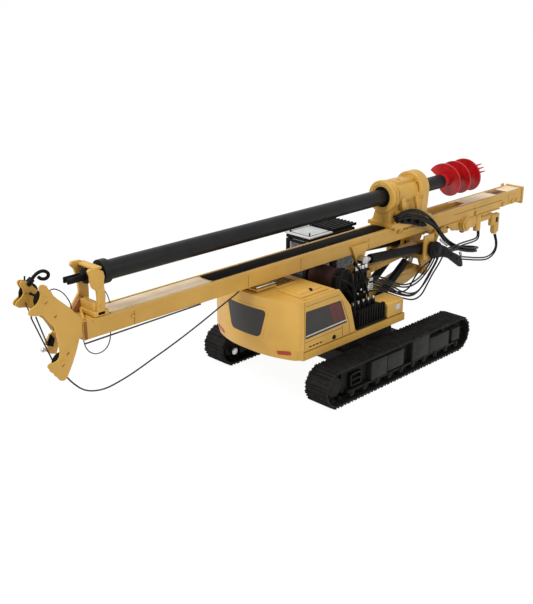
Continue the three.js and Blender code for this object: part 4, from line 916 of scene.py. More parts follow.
# ------------------------------------------------------------------ mast rest
# A yellow block on the counterweight carries the folded mast; two bright steel rails
# are let into it.
chrome = coated(
    "bright_steel", "bright_metal", tint(196, 196, 196), tint(160, 160, 160), 0.22, lump=2, grain=0.2,
    depth=0.002, metallic=1.0,
)
rest_low, rest_high = drawn_box("mast_rest")
rail_z = rest_low.z + 1.7
soften("mast_rest", enamel, 0.3)
bm = bmesh.new()
for y in (-4.1, 4.1):
    rod(bm, (rest_low.x + 0.4, y, rail_z), (rest_high.x - 0.4, y, rail_z), 0.5, sides=14)
build(bm, "rest_rails", chrome, "upper_carriage")

# ------------------------------------------------------------------ tool box and valve box
# The yellow tool box closes the deck's right front corner. Behind it the open valve box
# is a black stack of ribs and blocks, and black hoses stand and lean in a column that
# four bars hold; both have silver hose ends on top.
TOOL = drawn_box("tool_box")
VALVE = drawn_box("valve_box")
COLUMN = drawn_box("hose_column")
column_middle = (COLUMN[0].y + COLUMN[1].y) / 2
VALVE_RIBS = [VALVE[0].x + 0.5 + 1.66 * k for k in range(11)]
VALVE_PORTS = [VALVE[0].x + 2 + 3.3 * k for k in range(5)]
port_y = VALVE[0].y + 5
COLUMN_HOSES = [COLUMN[0].x + 1 + 2.1 * k for k in range(4)]
COLUMN_BARS = (27, 32.4, 38, 43)
soften("tool_box", enamel, 0.7)
bm = bmesh.new()
block(bm, (TOOL[0].x + 5.6, TOOL[0].y - 0.12, 26.2), (TOOL[0].x + 8.6, TOOL[0].y + 0.3, 28.6), 0.08)
build(bm, "tool_box_plate", pale_print, "upper_carriage")
bm = bmesh.new()
back, front = VALVE[0].x + 0.6, VALVE[1].x - 0.4
block(bm, (back, VALVE[0].y + 1.4, VALVE[0].z), (front, VALVE[1].y, VALVE[1].z - 1.2), 0.3)
block(bm, (VALVE[0].x, VALVE[0].y, VALVE[0].z), (VALVE[1].x, VALVE[1].y, VALVE[0].z + 1), 0.25)
for x in VALVE_RIBS:
    block(bm, (x, VALVE[0].y + 0.1, VALVE[0].z + 0.4), (x + 0.8, VALVE[0].y + 2, VALVE[1].z), 0.16)
for x in VALVE_PORTS:
    rod(bm, (x, port_y, VALVE[1].z - 1.5), (x, port_y, VALVE[1].z + 1.2), 1.0, sides=14)
build(bm, "valve_stack", satin_black, "upper_carriage", "valve_box")
bm = bmesh.new()
for k, x in enumerate(COLUMN_HOSES):
    top = COLUMN[1].z - 0.6 - k % 2 * 1.4
    rod(bm, (x, column_middle, COLUMN[0].z), (x, column_middle, top), 0.85, sides=14)
    leaning = (x - 5 + 0.4 * k, column_middle, COLUMN[1].z - 3 - 2.5 * (3 - k))
    rod(bm, leaning, (x, column_middle, COLUMN[0].z + 4), 0.8, sides=14)
for z in COLUMN_BARS:
    block(bm, (COLUMN[0].x, COLUMN[0].y, z), (COLUMN[1].x, COLUMN[1].y, z + 1.1), 0.2)
build(bm, "hose_stack", satin_black, "upper_carriage", "hose_column")
bm = bmesh.new()
for x in VALVE_PORTS:
    rod(bm, (x, port_y, VALVE[1].z + 1), (x, port_y, VALVE[1].z + 2.6), 0.62, sides=8, edge=0.08)
for k, x in enumerate(COLUMN_HOSES):
    nut_z = COLUMN[1].z - 2.6
    rod(bm, (x, column_middle, nut_z), (x, column_middle, nut_z + 1.7), 1.05, sides=6, edge=0.1)
    x, z = x - 0.2, 34 + 1.6 * (k % 2)
    rod(bm, (x, COLUMN[0].y - 0.5, z), (x, COLUMN[0].y + 0.6, z), 0.6, sides=6, edge=0.06)
build(bm, "valve_fittings", silver, "upper_carriage")

# ------------------------------------------------------------------ main winch
# A brown rope lies in neat turns between the drum's flanges, in a black frame whose
# side plates carry the shaft's round covers.
drum_low, drum_high = drawn_box("main_winch_drum")
winch_x = (drum_low.x + drum_high.x) / 2
WINCH_Z = 40.0
ROPE_TURN = 0.9          # width of one turn
ROPE_PACK_R = 5.1        # the wound rope's outer radius
DRUM_CHEEK = 3.2         # from the drum's end to its first turn
BOLTS = 6
BOLT_CIRCLE = 3.4
rope_brown = Finish("wound_rope", "winch_rope", roughness=0.7)
twist = rope_brown.noise(0.35, 2, stretch=(1, 0.4, 1))
rope_brown.feed("Base Color", rope_brown.colours(tint(40, 22, 17), tint(70, 38, 28), twist))
rope_brown.relief(twist, 0.04)
soften("main_winch_frame", satin_black, 0.25)
soften("main_winch_drum", satin_black, 0.2)
bm = bmesh.new()
y = drum_low.y + DRUM_CHEEK
while y < drum_high.y - DRUM_CHEEK:
    rod(bm, (winch_x, y, WINCH_Z), (winch_x, y + ROPE_TURN, WINCH_Z), ROPE_PACK_R, sides=32, edge=0.4)
    y += ROPE_TURN
build(bm, "winch_rope_turns", rope_brown, "main_winch")
bm = bmesh.new()
for y, out in ((drum_low.y + 0.2, -1), (drum_high.y - 0.2, 1)):
    rod(bm, (winch_x, y - 0.4 * out, WINCH_Z), (winch_x, y + 0.7 * out, WINCH_Z), 2.4, 2.0, sides=24)
    for k in range(BOLTS):
        turn = k * math.tau / BOLTS
        x, z = winch_x + BOLT_CIRCLE * math.cos(turn), WINCH_Z + BOLT_CIRCLE * math.sin(turn)
        rod(bm, (x, y - 0.6 * out, z), (x, y + 0.45 * out, z), 0.42, sides=8, edge=0.06)
build(bm, "winch_covers", satin_black, "upper_carriage")

# ------------------------------------------------------------------ cab
# The cab is a black shell round dark tinted glass, with a seat and a console inside.
# Its roof carries a pale plate in a thin black frame, a barred guard and two lamps; its
# outer side has door seams and a grab rail.
glass = Finish("tinted_glass", "window_glass", roughness=0.06)
glass.feed("Base Color", tint(64, 70, 74))
glass.feed("Alpha", 0.5)
pale = coated(
    "pale_grey", "light_grey", tint(206, 208, 206), tint(190, 192, 190), 0.5, lump=6, grain=0.4, depth=0.01,
)
seat_black = coated(
    "seat_plastic", "seat_plastic", tint(30, 30, 32), tint(42, 42, 44), 0.6, lump=4, grain=0.3, depth=0.02,
)
CAB = drawn_box("cab_shell")
HATCH = drawn_box("roof_hatch")
HATCH_BAR = 0.5
side_y = CAB[1].y + 0.05
DOOR_SEAMS = [
    ((5.2, 24.6), (5.2, 51.6)), ((5.2, 51.6), (19, 51.6)),
    ((5.2, 24.6), (20.4, 24.6)), ((5.2, 31.2), (22.2, 31.2)),
]
GRAB_RAIL = [
    (4.4, side_y - 0.3, 33), (4.3, side_y + 0.9, 33.6), (4.2, side_y + 1.1, 38), (4.2, side_y + 1.1, 44),
    (4.3, side_y + 0.9, 48.4), (4.4, side_y - 0.3, 49),
]
soften("cab_shell", satin_black, 0.35)
soften("cab_glazing", glass, 0.1)
soften("cab_roof", satin_black, 0.5)
soften("roof_guard", satin_black, 0.15)
soften("operator_seat", seat_black, 0.5)
soften("control_console", seat_black, 0.3)
bm = bmesh.new()
block(
    bm, (HATCH[0].x - 1.6, HATCH[0].y - 1.6, HATCH[0].z),
    (HATCH[1].x - 0.3, HATCH[1].y + 1.2, HATCH[0].z + 0.7), 0.2,
)
build(bm, "roof_hatch_lid", pale, "upper_carriage", "roof_hatch")
bm = bmesh.new()
for y0, y1 in ((HATCH[0].y, HATCH[0].y + HATCH_BAR), (HATCH[1].y - HATCH_BAR, HATCH[1].y)):
    block(bm, (HATCH[0].x, y0, HATCH[0].z), (HATCH[1].x, y1, HATCH[0].z + 0.8), 0.08)
for x0, x1 in ((HATCH[0].x, HATCH[0].x + HATCH_BAR), (HATCH[1].x - HATCH_BAR, HATCH[1].x)):
    block(bm, (x0, HATCH[0].y, HATCH[0].z), (x1, HATCH[1].y, HATCH[0].z + 0.8), 0.08)
for x in (HATCH[0].x + HATCH_BAR, HATCH[1].x - HATCH_BAR):
    for y in (HATCH[0].y + HATCH_BAR, HATCH[1].y - HATCH_BAR):
        rod(bm, (x, y, HATCH[0].z), (x, y, HATCH[1].z + 1.4), 0.35, sides=10)
build(bm, "roof_hatch_frame", satin_black, "upper_carriage", "roof_hatch")
bm = bmesh.new()
for (x0, z0), (x1, z1) in DOOR_SEAMS:
    rod(bm, (x0, side_y - 0.1, z0), (x1, side_y - 0.1, z1), SEAM / 2, sides=6, edge=0)
build(bm, "cab_seams", seam_dark, "upper_carriage")
grab = tube("cab_grab_rail", smooth_route(GRAB_RAIL, 0.8), 0.35, satin_black)
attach(grab, "upper_carriage")
bm = bmesh.new()
lamp_z = CAB[1].z + 0.4
for y in (CAB[0].y + 2.5, CAB[1].y - 2.5):
    rod(bm, (CAB[1].x - 4.4, y, lamp_z), (CAB[1].x - 2.6, y, lamp_z), 1.0, 1.2, sides=18)
block(bm, (CAB[1].x - 1.2, CAB[0].y + 3, 26.5), (CAB[1].x + 0.2, CAB[1].y - 3, 28.5), 0.3)
build(bm, "cab_lamps", pale, "upper_carriage")

# ------------------------------------------------------------------ boom linkage
# Two yellow die-cast arms carry the cradle that the mast turns on. Black cylinders with
# bright rods move them, raised ribs stiffen the arms, and round pin heads hold the joints.
soften("upper_arm", enamel, 0.3)
soften("lower_arm", enamel, 0.3)
UPPER_HEAD = (55, 40.9)         # pin places, along and up
LOWER_HEAD = (55.5, 28.8)
MAST_PIVOT = (64, 45.5)
MAST_CYL_FOOT = (51.5, 42.1)
CRADLE_BOLTS = ((48.4, 47.6), (48, 38.8), (56.4, 36.4))
ARM_SIDE = 2.2                  # from the middle to the arms' sides
CHEEK_SIDE = 5.4                # and to the sides of the cradle's cheeks and of its body
CRADLE_SIDE = 11.2
RIB_HEIGHT = 0.35
UPPER_RIB = ((18, 36.2), (48, 39.2), (48, 40.6), (34, 40), (18, 38.2))
LOWER_RIB = ((18, 24.4), (32, 24.6), (44, 25.6), (50, 28), (42, 29), (30, 28), (18, 26.2))


def arm_rib(bm, side, outline):
    """Adds a rib to one side of an arm, its outline along and up."""
    corners = [at(x, side * ARM_SIDE, z) for x, z in outline]
    extruded(bm, corners, Vector((0, side * RIB_HEIGHT * MM, 0)), 0.12)


bm = bmesh.new()
for side in (-1, 1):
    arm_rib(bm, side, UPPER_RIB)
    rod(bm, (22, side * ARM_SIDE, 37.4), (22, side * (ARM_SIDE + 0.6), 37.4), 0.9, sides=16)
build(bm, "upper_arm_ribs", enamel, "upper_boom_arm")
bm = bmesh.new()
for side in (-1, 1):
    arm_rib(bm, side, LOWER_RIB)
build(bm, "lower_arm_ribs", enamel, "lower_boom_arm")
for side in ("left", "right"):
    soften(f"boom_cylinder_barrel_{side}", satin_black, 0.2)
    soften(f"boom_cylinder_rod_{side}", chrome, 0.15)
    soften(f"mast_cylinder_barrel_{side}", satin_black, 0.2)
    soften(f"mast_cylinder_rod_{side}", chrome, 0.15)
soften("cradle", enamel, 0.3)
bm = bmesh.new()
for side in (-1, 1):
    deep, proud = side * (CHEEK_SIDE - 0.3), side * (CHEEK_SIDE + 0.5)
    for x, z in (LOWER_HEAD, UPPER_HEAD, MAST_PIVOT):
        rod(bm, (x, deep, z), (x, proud, z), 1.7, 1.5, sides=20, edge=0.15)
    x, z = MAST_CYL_FOOT
    deep, proud = side * (CRADLE_SIDE - 0.2), side * (CRADLE_SIDE + 0.25)
    rod(bm, (x, deep, z), (x, proud, z), 1.9, 1.7, sides=22, edge=0.1)
    deep, proud = side * (CRADLE_SIDE - 0.1), side * (CRADLE_SIDE + 0.2)
    for x, z in CRADLE_BOLTS:
        rod(bm, (x, deep, z), (x, proud, z), 0.55, sides=12, edge=0.06)
build(bm, "cradle_pin_heads", enamel, "mast_cradle")

# ------------------------------------------------------------------ hose guard
# A black cast plate with a round boss and three studs is fixed to the cradle's right
# side. The hoses pass behind it, and their silver ends are pressed in along it.
GUARD_NEAR, GUARD_FAR = -14.0, -11.7
GUARD_BOSS = (53, 41.6)
GUARD_STUDS = ((60.6, 39.4), (66, 36.2), (71, 33.2))
GUARD = [
    (47.9, 40.4), (48.1, 44.6), (49.8, 46), (52.4, 45.4), (56.6, 43.4), (61, 41.4), (66, 37.8), (71, 35.4),
    (74.4, 33.4), (75.8, 30.6), (76.2, 28.2), (74.1, 28.2), (69.8, 31), (64, 34.8), (58, 36.9),
    (52.6, 37.5), (49.4, 38.6),
]
bm = bmesh.new()
plate_face = GUARD_NEAR + 0.5
corners = [at(x, plate_face, z) for x, z in GUARD]
extruded(bm, corners, Vector((0, (GUARD_FAR - plate_face) * MM, 0)), 0.35)
x, z = GUARD_BOSS
rod(bm, (x, GUARD_NEAR, z), (x, GUARD_FAR, z), 3.6, 3.9, sides=30, edge=0.3)
rod(bm, (x, GUARD_NEAR - 0.3, z), (x, GUARD_NEAR + 0.2, z), 1.4, sides=18, edge=0.1)
for x, z in GUARD_STUDS:
    rod(bm, (x, GUARD_NEAR + 0.35, z), (x, GUARD_NEAR + 0.6, z), 0.8, sides=14, edge=0.08)
build(bm, "hose_guard", satin_black, "mast_cradle", "hose_disc")
bm = bmesh.new()
for n in range(4):
    x, y, z = 59.4 + 1.3 * n, -10.6 - 0.2 * n, 44.9 - 0.9 * n
    rod(bm, (x, y, z), (x + 1, y - 0.1, z - 1.5), 0.5, sides=12)
for n in range(3):
    rod(bm, (77 + 0.5 * n, -11.2, 34.6 - 0.9 * n), (75 + 0.5 * n, -11.7, 35 - 0.9 * n), 0.46, sides=12)
build(bm, "guard_fittings", silver, "mast_cradle")
bm = bmesh.new()
for _, points in BASE_STRANDS:
    x, z = points[0]
    rod(bm, (x - 0.6, BASE_HOSE_Y, z), (x + 1.7, BASE_HOSE_Y, z - 0.15), 0.56, sides=12)
    rod(bm, (x + 1.5, BASE_HOSE_Y, z - 0.13), (x + 2.4, BASE_HOSE_Y, z - 0.25), 0.68, sides=6, edge=0.06)
build(bm, "base_hose_ends", silver, "upper_carriage")

# ------------------------------------------------------------------ mast
# A long yellow box section with thin seams and small lugs. Plates in a paler yellow, a
# painted highlight of its lit top, cover its face at both ends, a black strip covers the
# groove for the feed cylinder, and beyond the rotary head the groove is open; its floor and
# the strips along its edges are painted tan as the shade inside it.
MAST_SIDE = 4.9                     # from the middle to its sides
MAST_LOW = 48.5
MAST_FACE = drawn_box("mast")[1].z
PALE_PLATES = (                     # rear, front, right and left of each plate on the face
    (-127, -81, -4.6, 3.6), (91, 117.6, -4.2, 4.2), (128, 140.4, -4.2, 4.2), (85.4, 91.2, -4.2, -2.85),
    (85.4, 91.2, 2.85, 4.2),
)
STRIP = (-79.7, 25.5)               # rear and front of the strip over the groove
GROOVE_SHADE_STRIPS = (57, 84.6)            # and of the tan strips and the tan floor beyond the head, painted shade in the open groove
GROOVE_FLOOR = (57, 90.2)
FACE_SEAMS = ((-128, 25), (57, 140))
CROSS_SEAMS = (-117.6, -62, -31.8, 12.4, 58.4, 96.5, 128.2)
HANDLES = ((-118.4, 52), (-47, 54.6), (-32.4, 54.6), (-7.2, 54.6))
SIDE_LUGS = (97, 122, 131, 135.5)
# A paler copy of the yellow enamel: painted highlight of the light falling on the mast's top face.
pale_highlight = coated(
    "cover_plate_painted_highlight", "yellow_paint", tint(250, 228, 196), tint(240, 212, 172), 0.5, lump=7, grain=0.4,
    depth=0.01,
)
# Tan paint that stands in for shade: in the open groove, in small marks on the cathead's plates, and on a
# web between the kelly posts' feet.
tan_shadow = coated(
    "tan_painted_shade", "yellow_paint", tint(150, 92, 40), tint(128, 78, 34), 0.55, lump=3, grain=0.3, depth=0.01,
)
groove_black = coated(
    "groove_black", "black_paint", tint(9, 8, 7), tint(22, 18, 14), 0.75, lump=5, grain=0.3, depth=0.01,
    shine=0.04,
)
soften("mast", enamel, 0.25)
soften("mast_foot", enamel, 0.3)
# The plates on the face carry the paler yellow as painted highlight.
bm = bmesh.new()
for x0, x1, near, far in PALE_PLATES:
    block(bm, (x0, near, MAST_FACE - 0.5), (x1, far, MAST_FACE + 0.04), 0.02)
build(bm, "mast_covers_painted_highlight", pale_highlight, "leader_mast")
# The groove's floor and the strips along its edges are painted tan as the shade inside it; a tan patch on
# the face nearer the foot is painted shade as well.
bm = bmesh.new()
for near, far in ((-3.6, -2.85), (2.85, 3.6)):
    block(bm, (GROOVE_SHADE_STRIPS[0], near, MAST_FACE - 0.6), (GROOVE_SHADE_STRIPS[1], far, MAST_FACE + 0.03), 0.02)
block(bm, (GROOVE_FLOOR[0], -2.65, 50.9), (GROOVE_FLOOR[1], 2.65, 51.12), 0.02)
block(bm, (117.9, -3.4, MAST_FACE - 0.5), (127.7, 3.4, MAST_FACE + 0.06), 0.08)
build(bm, "mast_painted_shade_plates", tan_shadow, "leader_mast")
bm = bmesh.new()
block(bm, (STRIP[0], -2.5, 54.4), (STRIP[1], 2.5, MAST_FACE), 0.15)
block(bm, (STRIP[0], -3.9, MAST_FACE - 0.1), (STRIP[1], 3.6, MAST_FACE + 0.15), 0.05)
build(bm, "groove_cover", groove_black, "leader_mast")
bm = bmesh.new()
block(bm, (119.4, -2.6, MAST_FACE - 0.2), (125.8, 0.6, MAST_FACE + 0.12), 0.06)
for y in (-4.25, 4.25):
    for x0, x1 in FACE_SEAMS:
        rod(bm, (x0, y, MAST_FACE + 0.01), (x1, y, MAST_FACE + 0.01), 0.1, sides=6, edge=0)
for side in (-1, 1):
    y = side * MAST_SIDE
    for x in CROSS_SEAMS:
        rod(bm, (x, y, MAST_LOW + 0.3), (x, y, MAST_FACE - 0.5), 0.09, sides=6, edge=0)
    rod(bm, (78, y, 52.1), (122, y, 52.1), 0.12, sides=6, edge=0)
    rod(bm, (-137.6, y, MAST_LOW + 0.3), (-137.6, y, MAST_FACE - 0.6), 0.14, sides=6, edge=0)
build(bm, "mast_seams", seam_dark, "leader_mast")
bm = bmesh.new()
for side in (-1, 1):
    y = side * MAST_SIDE
    for x, z in HANDLES:
        rod(bm, (x, y - 0.1 * side, z), (x, y + 0.55 * side, z), 0.7, 0.5, sides=14)
        rod(bm, (x, y + 0.4 * side, z), (x + 1.4, y + 0.4 * side, z - 0.5), 0.25, sides=8)
    inner, outer = sorted((y - 0.2 * side, y + 0.7 * side))
    for x in SIDE_LUGS:
        block(bm, (x, inner, 48.6), (x + 2.2, outer, 50.6), 0.2)
block(bm, (135.8, 4.2, MAST_FACE - 0.2), (138.2, 5.0, MAST_FACE + 1.6), 0.25)
block(bm, (127.4, 3.4, MAST_FACE - 0.2), (134, 4.1, MAST_FACE + 0.6), 0.2)
for x in (141.7, 142.4):
    for y in (-4.6, 4.6):
        rod(bm, (x, y, MAST_FACE - 0.8), (x, y, MAST_FACE + 0.5), 0.45, sides=12)
build(bm, "mast_lugs", enamel, "leader_mast")

# ------------------------------------------------------------------ hose comb
# A short yellow comb of slanting fingers is cast on the mast's right side, under the
# hoses of the rotary head.
COMB_FINGERS = 6
COMB_TIP = ((32.6, 52), (36, 52), (36.6, 55.4), (34.6, 55))
bm = bmesh.new()
for n in range(COMB_FINGERS):
    x = 34.4 + 2.1 * n
    rod(bm, (x, -5.6, 55.2 - 0.42 * n), (x - 0.5, -5.4, 52.6), 0.34, sides=8, edge=0.05)
block(bm, (32.6, -5.7, 51.6), (46.6, -4.7, 52.7), 0.2)
extruded(bm, [at(x, -4.7, z) for x, z in COMB_TIP], Vector((0, -1.0 * MM, 0)), 0.2)
build(bm, "hose_comb", enamel, "leader_mast")

# ------------------------------------------------------------------ taut hoist rope
# A second length of grey thread is drawn tight along the mast's lower right edge, from
# the cathead forwards.
thread_plain = coated("taut_rope", "winch_rope", ROPE_GREY, ROPE_DARK, 0.7, lump=0.5, grain=0.2, depth=0.03)
bm = bmesh.new()
rod(bm, (-139, -5.25, 47.5), (-87, -5.1, 48.35), HOIST_ROPE_R, sides=10, edge=0)
build(bm, "taut_rope_mast", thread_plain, "leader_mast")

# ------------------------------------------------------------------ cathead
# The cathead is cut from thin yellow plates with rounded lobes, one on the right and a
# pair on the left. Black sheaves turn beside the right one and between the pair, ropes
# and wire loops cross the open middle, and a black hook lies over the left lobe.
LOBE_ROUND = 0.28
BRACKET = (
    (-148.4, 47.2), (-147.2, 46), (-148.4, 44.6), (-146.6, 43.2), (-144.3, 42.4), (-143, 46),
    (-144.4, 50.6), (-146.2, 50.4),
)
UPPER_AXLE = (-153, 67)         # along and up
LOWER_AXLE = (-148.3, 43.5)
BRACKET_STOP = ((-147, 51), (-148, 49.1), (-149, 47.5), (-146.4, 46.2), (-145.4, 49))
CATHEAD_ROPES = (
    ((-156, -1, 60.6), (-149.6, -2.4, 42.4)), ((-154.4, -1.4, 60.4), (-151.5, -2.1, 50.2)),
    ((-155, 3.4, 64.2), (-155.6, -0.9, 60.4)),
)
NEAR_OUTLINE = [
    (-139.7, 57.0), (-142.2, 59.8), (-143.4, 61.4), (-148.4, 66.2), (-149.6, 67.5), (-150.3, 68.8),
    (-151.4, 70.4), (-151.9, 71.5), (-153, 72.2), (-154.1, 72.3), (-154.8, 71.6), (-154.7, 70.6),
    (-154.3, 69.4), (-154.7, 68), (-155.5, 66.8), (-156.5, 65.8), (-157.8, 65.3), (-158.9, 64.8),
    (-159.4, 63.9), (-159, 63.1), (-158, 62.8), (-156.7, 62.3), (-155, 62.2), (-153.7, 61.3),
    (-152.2, 59.2), (-150.2, 56.4), (-149.8, 55.3), (-149.7, 53.9), (-149.5, 51.7), (-149.1, 48.4),
    (-149.1, 47), (-149.5, 45.6), (-150.4, 44.8), (-151.8, 44.5), (-153, 44.7), (-153.9, 44.3),
    (-154.1, 43.4), (-153.5, 42.7), (-153.1, 41.5), (-152, 40.7), (-151.7, 39.7), (-150.8, 38.9),
    (-150, 37.6), (-148.7, 36.9), (-147.6, 37.1), (-146.8, 37.9), (-145.6, 40), (-144.4, 42.2),
    (-143, 45.1), (-141.7, 48.4), (-140.7, 51.3), (-139.8, 54.4),
]
FAR_OUTLINE = [
    (-139.7, 57.0), (-142.2, 59.8), (-143.4, 61.4), (-147.6, 63.6), (-149.9, 65.7), (-149.9, 67.2),
    (-151.2, 68.7), (-152.2, 69.9), (-153, 70.9), (-154.3, 71.6), (-155.7, 71.9), (-156.4, 71.2),
    (-156.1, 70.1), (-155.5, 69), (-155.3, 67.6), (-155.8, 66.8), (-156.8, 66), (-158, 65.4),
    (-158.6, 64.5), (-158.2, 63.6), (-157.3, 63), (-155.9, 62.8), (-154, 62.3), (-152.7, 61.2),
    (-150.6, 58.4), (-148.1, 56.4), (-146.3, 53.4), (-145.2, 51.2), (-144.2, 51.8), (-142, 55.2),
    (-140.2, 55.4),
]
CHEEKS = [(-5.6, -5.05, NEAR_OUTLINE), (3.3, 3.85, FAR_OUTLINE), (4.95, 5.55, FAR_OUTLINE)]
bm = bmesh.new()
for y0, y1, outline in CHEEKS:
    cheek = bmesh.new()
    extruded(cheek, [at(x, y0, z) for x, z in outline], Vector((0, (y1 - y0) * MM, 0)))
    rounded(cheek, edges_across(cheek), LOBE_ROUND, 3)
    rims = [e for e in cheek.edges if len(e.link_faces) == 2 and e.calc_face_angle(0) > math.radians(60)]
    rounded(cheek, rims, 0.1, 1)
    shaped = bpy.data.meshes.new("cheek")
    cheek.to_mesh(shaped)
    cheek.free()
    bm.from_mesh(shaped)
    bpy.data.meshes.remove(shaped)
block(bm, (-145.3, -5.1, 50), (-139.3, 5, 55), 0.25)
extruded(bm, [at(x, 4.3, z) for x, z in BRACKET], Vector((0, 1.2 * MM, 0)), 0.3)
for (x, z), y0, y1 in ((UPPER_AXLE, -5.72, -5.5), (LOWER_AXLE, -5.72, -5.5), (UPPER_AXLE, 5.5, 5.72)):
    rod(bm, (x, y0, z), (x, y1, z), 1.1, sides=20, edge=0.08)
build(bm, "cathead_plates", enamel, "leader_mast", "cathead")

# Small tan marks on the plates are painted shade.
bm = bmesh.new()
for x, z in ((-152.6, 66), (-149.6, 60.4), (-148.2, 42.6), (-146, 46.2)):
    rod(bm, (x - 0.5, -5.64, z - 0.4), (x + 0.4, -5.64, z + 0.3), 0.2, sides=8, edge=0)
for x, z in ((-154.4, 67.4), (-151.6, 64.4)):
    rod(bm, (x - 0.5, 3.28, z - 0.3), (x + 0.5, 3.28, z + 0.3), 0.2, sides=8, edge=0)
build(bm, "cathead_painted_shade_marks", tan_shadow, "leader_mast")

for node, (x, z), radius, places in (
    ("cathead_sheave_upper", UPPER_AXLE, 3.5, ((-4.95, -4.3), (4, 4.8))),
    ("cathead_sheave_lower", LOWER_AXLE, 3.7, ((-4.95, -4.3),)),
):
    bm = bmesh.new()
    for y0, y1 in places:
        rod(bm, (x, y0, z), (x, (y0 + y1) / 2, z), radius, radius - 0.35, sides=32, edge=0.05)
        rod(bm, (x, (y0 + y1) / 2, z), (x, y1, z), radius - 0.35, radius, sides=32, edge=0.05)
    rod(bm, (x, places[0][0], z), (x, places[-1][1], z), 0.45, sides=12)
    build(bm, f"{node}_wheels", satin_black, frame["nodes"][node]["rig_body"], node)

bm = bmesh.new()
for start, end in CATHEAD_ROPES:
    rod(bm, start, end, 0.26, sides=8, edge=0)
build(bm, "cathead_ropes", thread_plain, "leader_mast")
for name, points in (
    ("upper_wire_loop", [
        (-149.4, -1.6, 67.4), (-147.5, -0.6, 67.9), (-145.4, 0, 67.4), (-143.2, 0, 65.9),
        (-141.4, 0, 63.6), (-140.2, 0, 61), (-139.7, 0, 57.6),
    ]),
    ("lower_wire_loop", [
        (-138, -3, 48), (-137.4, -3, 45.4), (-135.9, -3, 43), (-133.4, -3, 41.5), (-130.6, -3, 41.5),
        (-128.4, -3, 42.8), (-127.2, -3, 45), (-126.7, -3, 48),
    ]),
    ("small_wire", [(-124.4, 4, 61.4), (-123.2, 4, 60.2), (-122.2, 4, 58.2), (-121.4, 4, 55.4)]),
):
    wire = tube(name, smooth_route(points, 0.5), 0.2, thread_plain, sides=8)
    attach(wire, "leader_mast")

HOOK = [
    (-151.9, 3.4, 71.5), (-150.9, 3.1, 72.7), (-149.6, 2.9, 73.5), (-148, 2.8, 73.7), (-146.6, 2.8, 73.1),
    (-145.9, 2.8, 72.1), (-146.2, 2.9, 71.2), (-147.3, 2.9, 70.8), (-148.6, 3, 71.1), (-149.6, 3, 71.9),
]
hook = tube("hook", smooth_route(HOOK, 0.4), 0.6, satin_black, sides=12)
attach(hook, "leader_mast")
bm = bmesh.new()
rod(bm, (-153.4, 4.1, 69.9), (-151.6, 3.5, 71.8), 1.25, 1.1, sides=20, edge=0.25)
rod(bm, (-154.2, 4.3, 70), (-153.9, 4.2, 73), 0.3, sides=8, edge=0.03)
rod(bm, (-154.2, 4.2, 69.4), (-152.9, 4.1, 70.6), 0.6, sides=14)
build(bm, "hook_swivel", satin_black, "leader_mast")
bm = bmesh.new()
rod(bm, (-149.3, 5.4, 45.2), (-149.1, 4.2, 45.4), 0.9, 0.8, sides=16, edge=0.35)
build(bm, "bracket_ball", silver, "leader_mast")
bm = bmesh.new()
extruded(bm, [at(x, 2.7, z) for x, z in BRACKET_STOP], Vector((0, 0.6 * MM, 0)), 0.15)
build(bm, "bracket_stop", satin_black, "leader_mast")

# ------------------------------------------------------------------ kelly support
# Two yellow posts with rounded heads hold the kelly bar's upper end in transport. A
# strap joins the heads over the swivel, and round braces stiffen the foot.
WEB = ((-138, 55.8), (-130.4, 55.8), (-130.4, 58.6), (-133.4, 61.6))
NEAR_POST = [
    (-133.3, 56), (-130, 56), (-130, 57.5), (-129.5, 62.7), (-129.9, 67.1), (-129.4, 69.5), (-129.9, 71.4),
    (-131.8, 72.5), (-135.2, 73.2), (-136, 72.4), (-135.3, 70.6), (-135.1, 67.8), (-134.5, 66.2),
    (-132.9, 64.8), (-132.8, 61.7),
]
FAR_POST = [
    (-133.3, 56), (-130, 56), (-129.6, 60), (-129.5, 64), (-130.2, 68.6), (-129.6, 70.6), (-130.2, 72.4),
    (-132, 73.6), (-135.6, 73.8), (-136.4, 72.6), (-134.8, 70.8), (-134.2, 68.4), (-133.6, 64),
]
bm = bmesh.new()
for y0, y1, outline in ((-5.6, -4.3, NEAR_POST), (4.3, 5.6, FAR_POST)):
    extruded(bm, [at(x, y0, z) for x, z in outline], Vector((0, (y1 - y0) * MM, 0)), 0.28)
block(bm, (-134.5, -5.6, MAST_FACE + 0.3), (-128.6, 5.6, MAST_FACE + 2), 0.25)
block(bm, (-134, -4.6, MAST_FACE + 1.5), (-131.5, 4.6, MAST_FACE + 5), 0.3)
block(bm, (-133.4, -5.2, 72.2), (-130.2, 5.2, 73.1), 0.25)
rod(bm, (-138.2, 4.6, 56), (-133.6, 4.6, 62), 0.6, sides=10)
rod(bm, (-138.2, -4.2, 56), (-133.9, 3.8, 56.8), 0.5, sides=10)
for x, z in ((-131.6, 66), (-131.8, 59.4)):
    rod(bm, (x, -5.8, z), (x, -5.5, z), 0.5, sides=14, edge=0.08)
build(bm, "kelly_posts", enamel, "leader_mast", "kelly_support")
# A tan web between the posts' feet and tan strips down the mast's sides at its end are painted shade.
bm = bmesh.new()
extruded(bm, [at(x, 3.4, z) for x, z in WEB], Vector((0, 0.7 * MM, 0)), 0.15)
for near, far in ((-5.08, -4.8), (4.8, 5.08)):
    block(bm, (-138.7, near, MAST_LOW + 0.1), (-137.5, far, MAST_FACE - 0.3), 0.08)
build(bm, "post_web_painted_shade", tan_shadow, "leader_mast")

# ------------------------------------------------------------------ feed cylinder
# The black feed cylinder lies in the mast's groove under the strip; its bright rod
# pushes the rotary carriage.
soften("crowd_cylinder_barrel", satin_black, 0.2)
soften("crowd_cylinder_rod", chrome, 0.15)

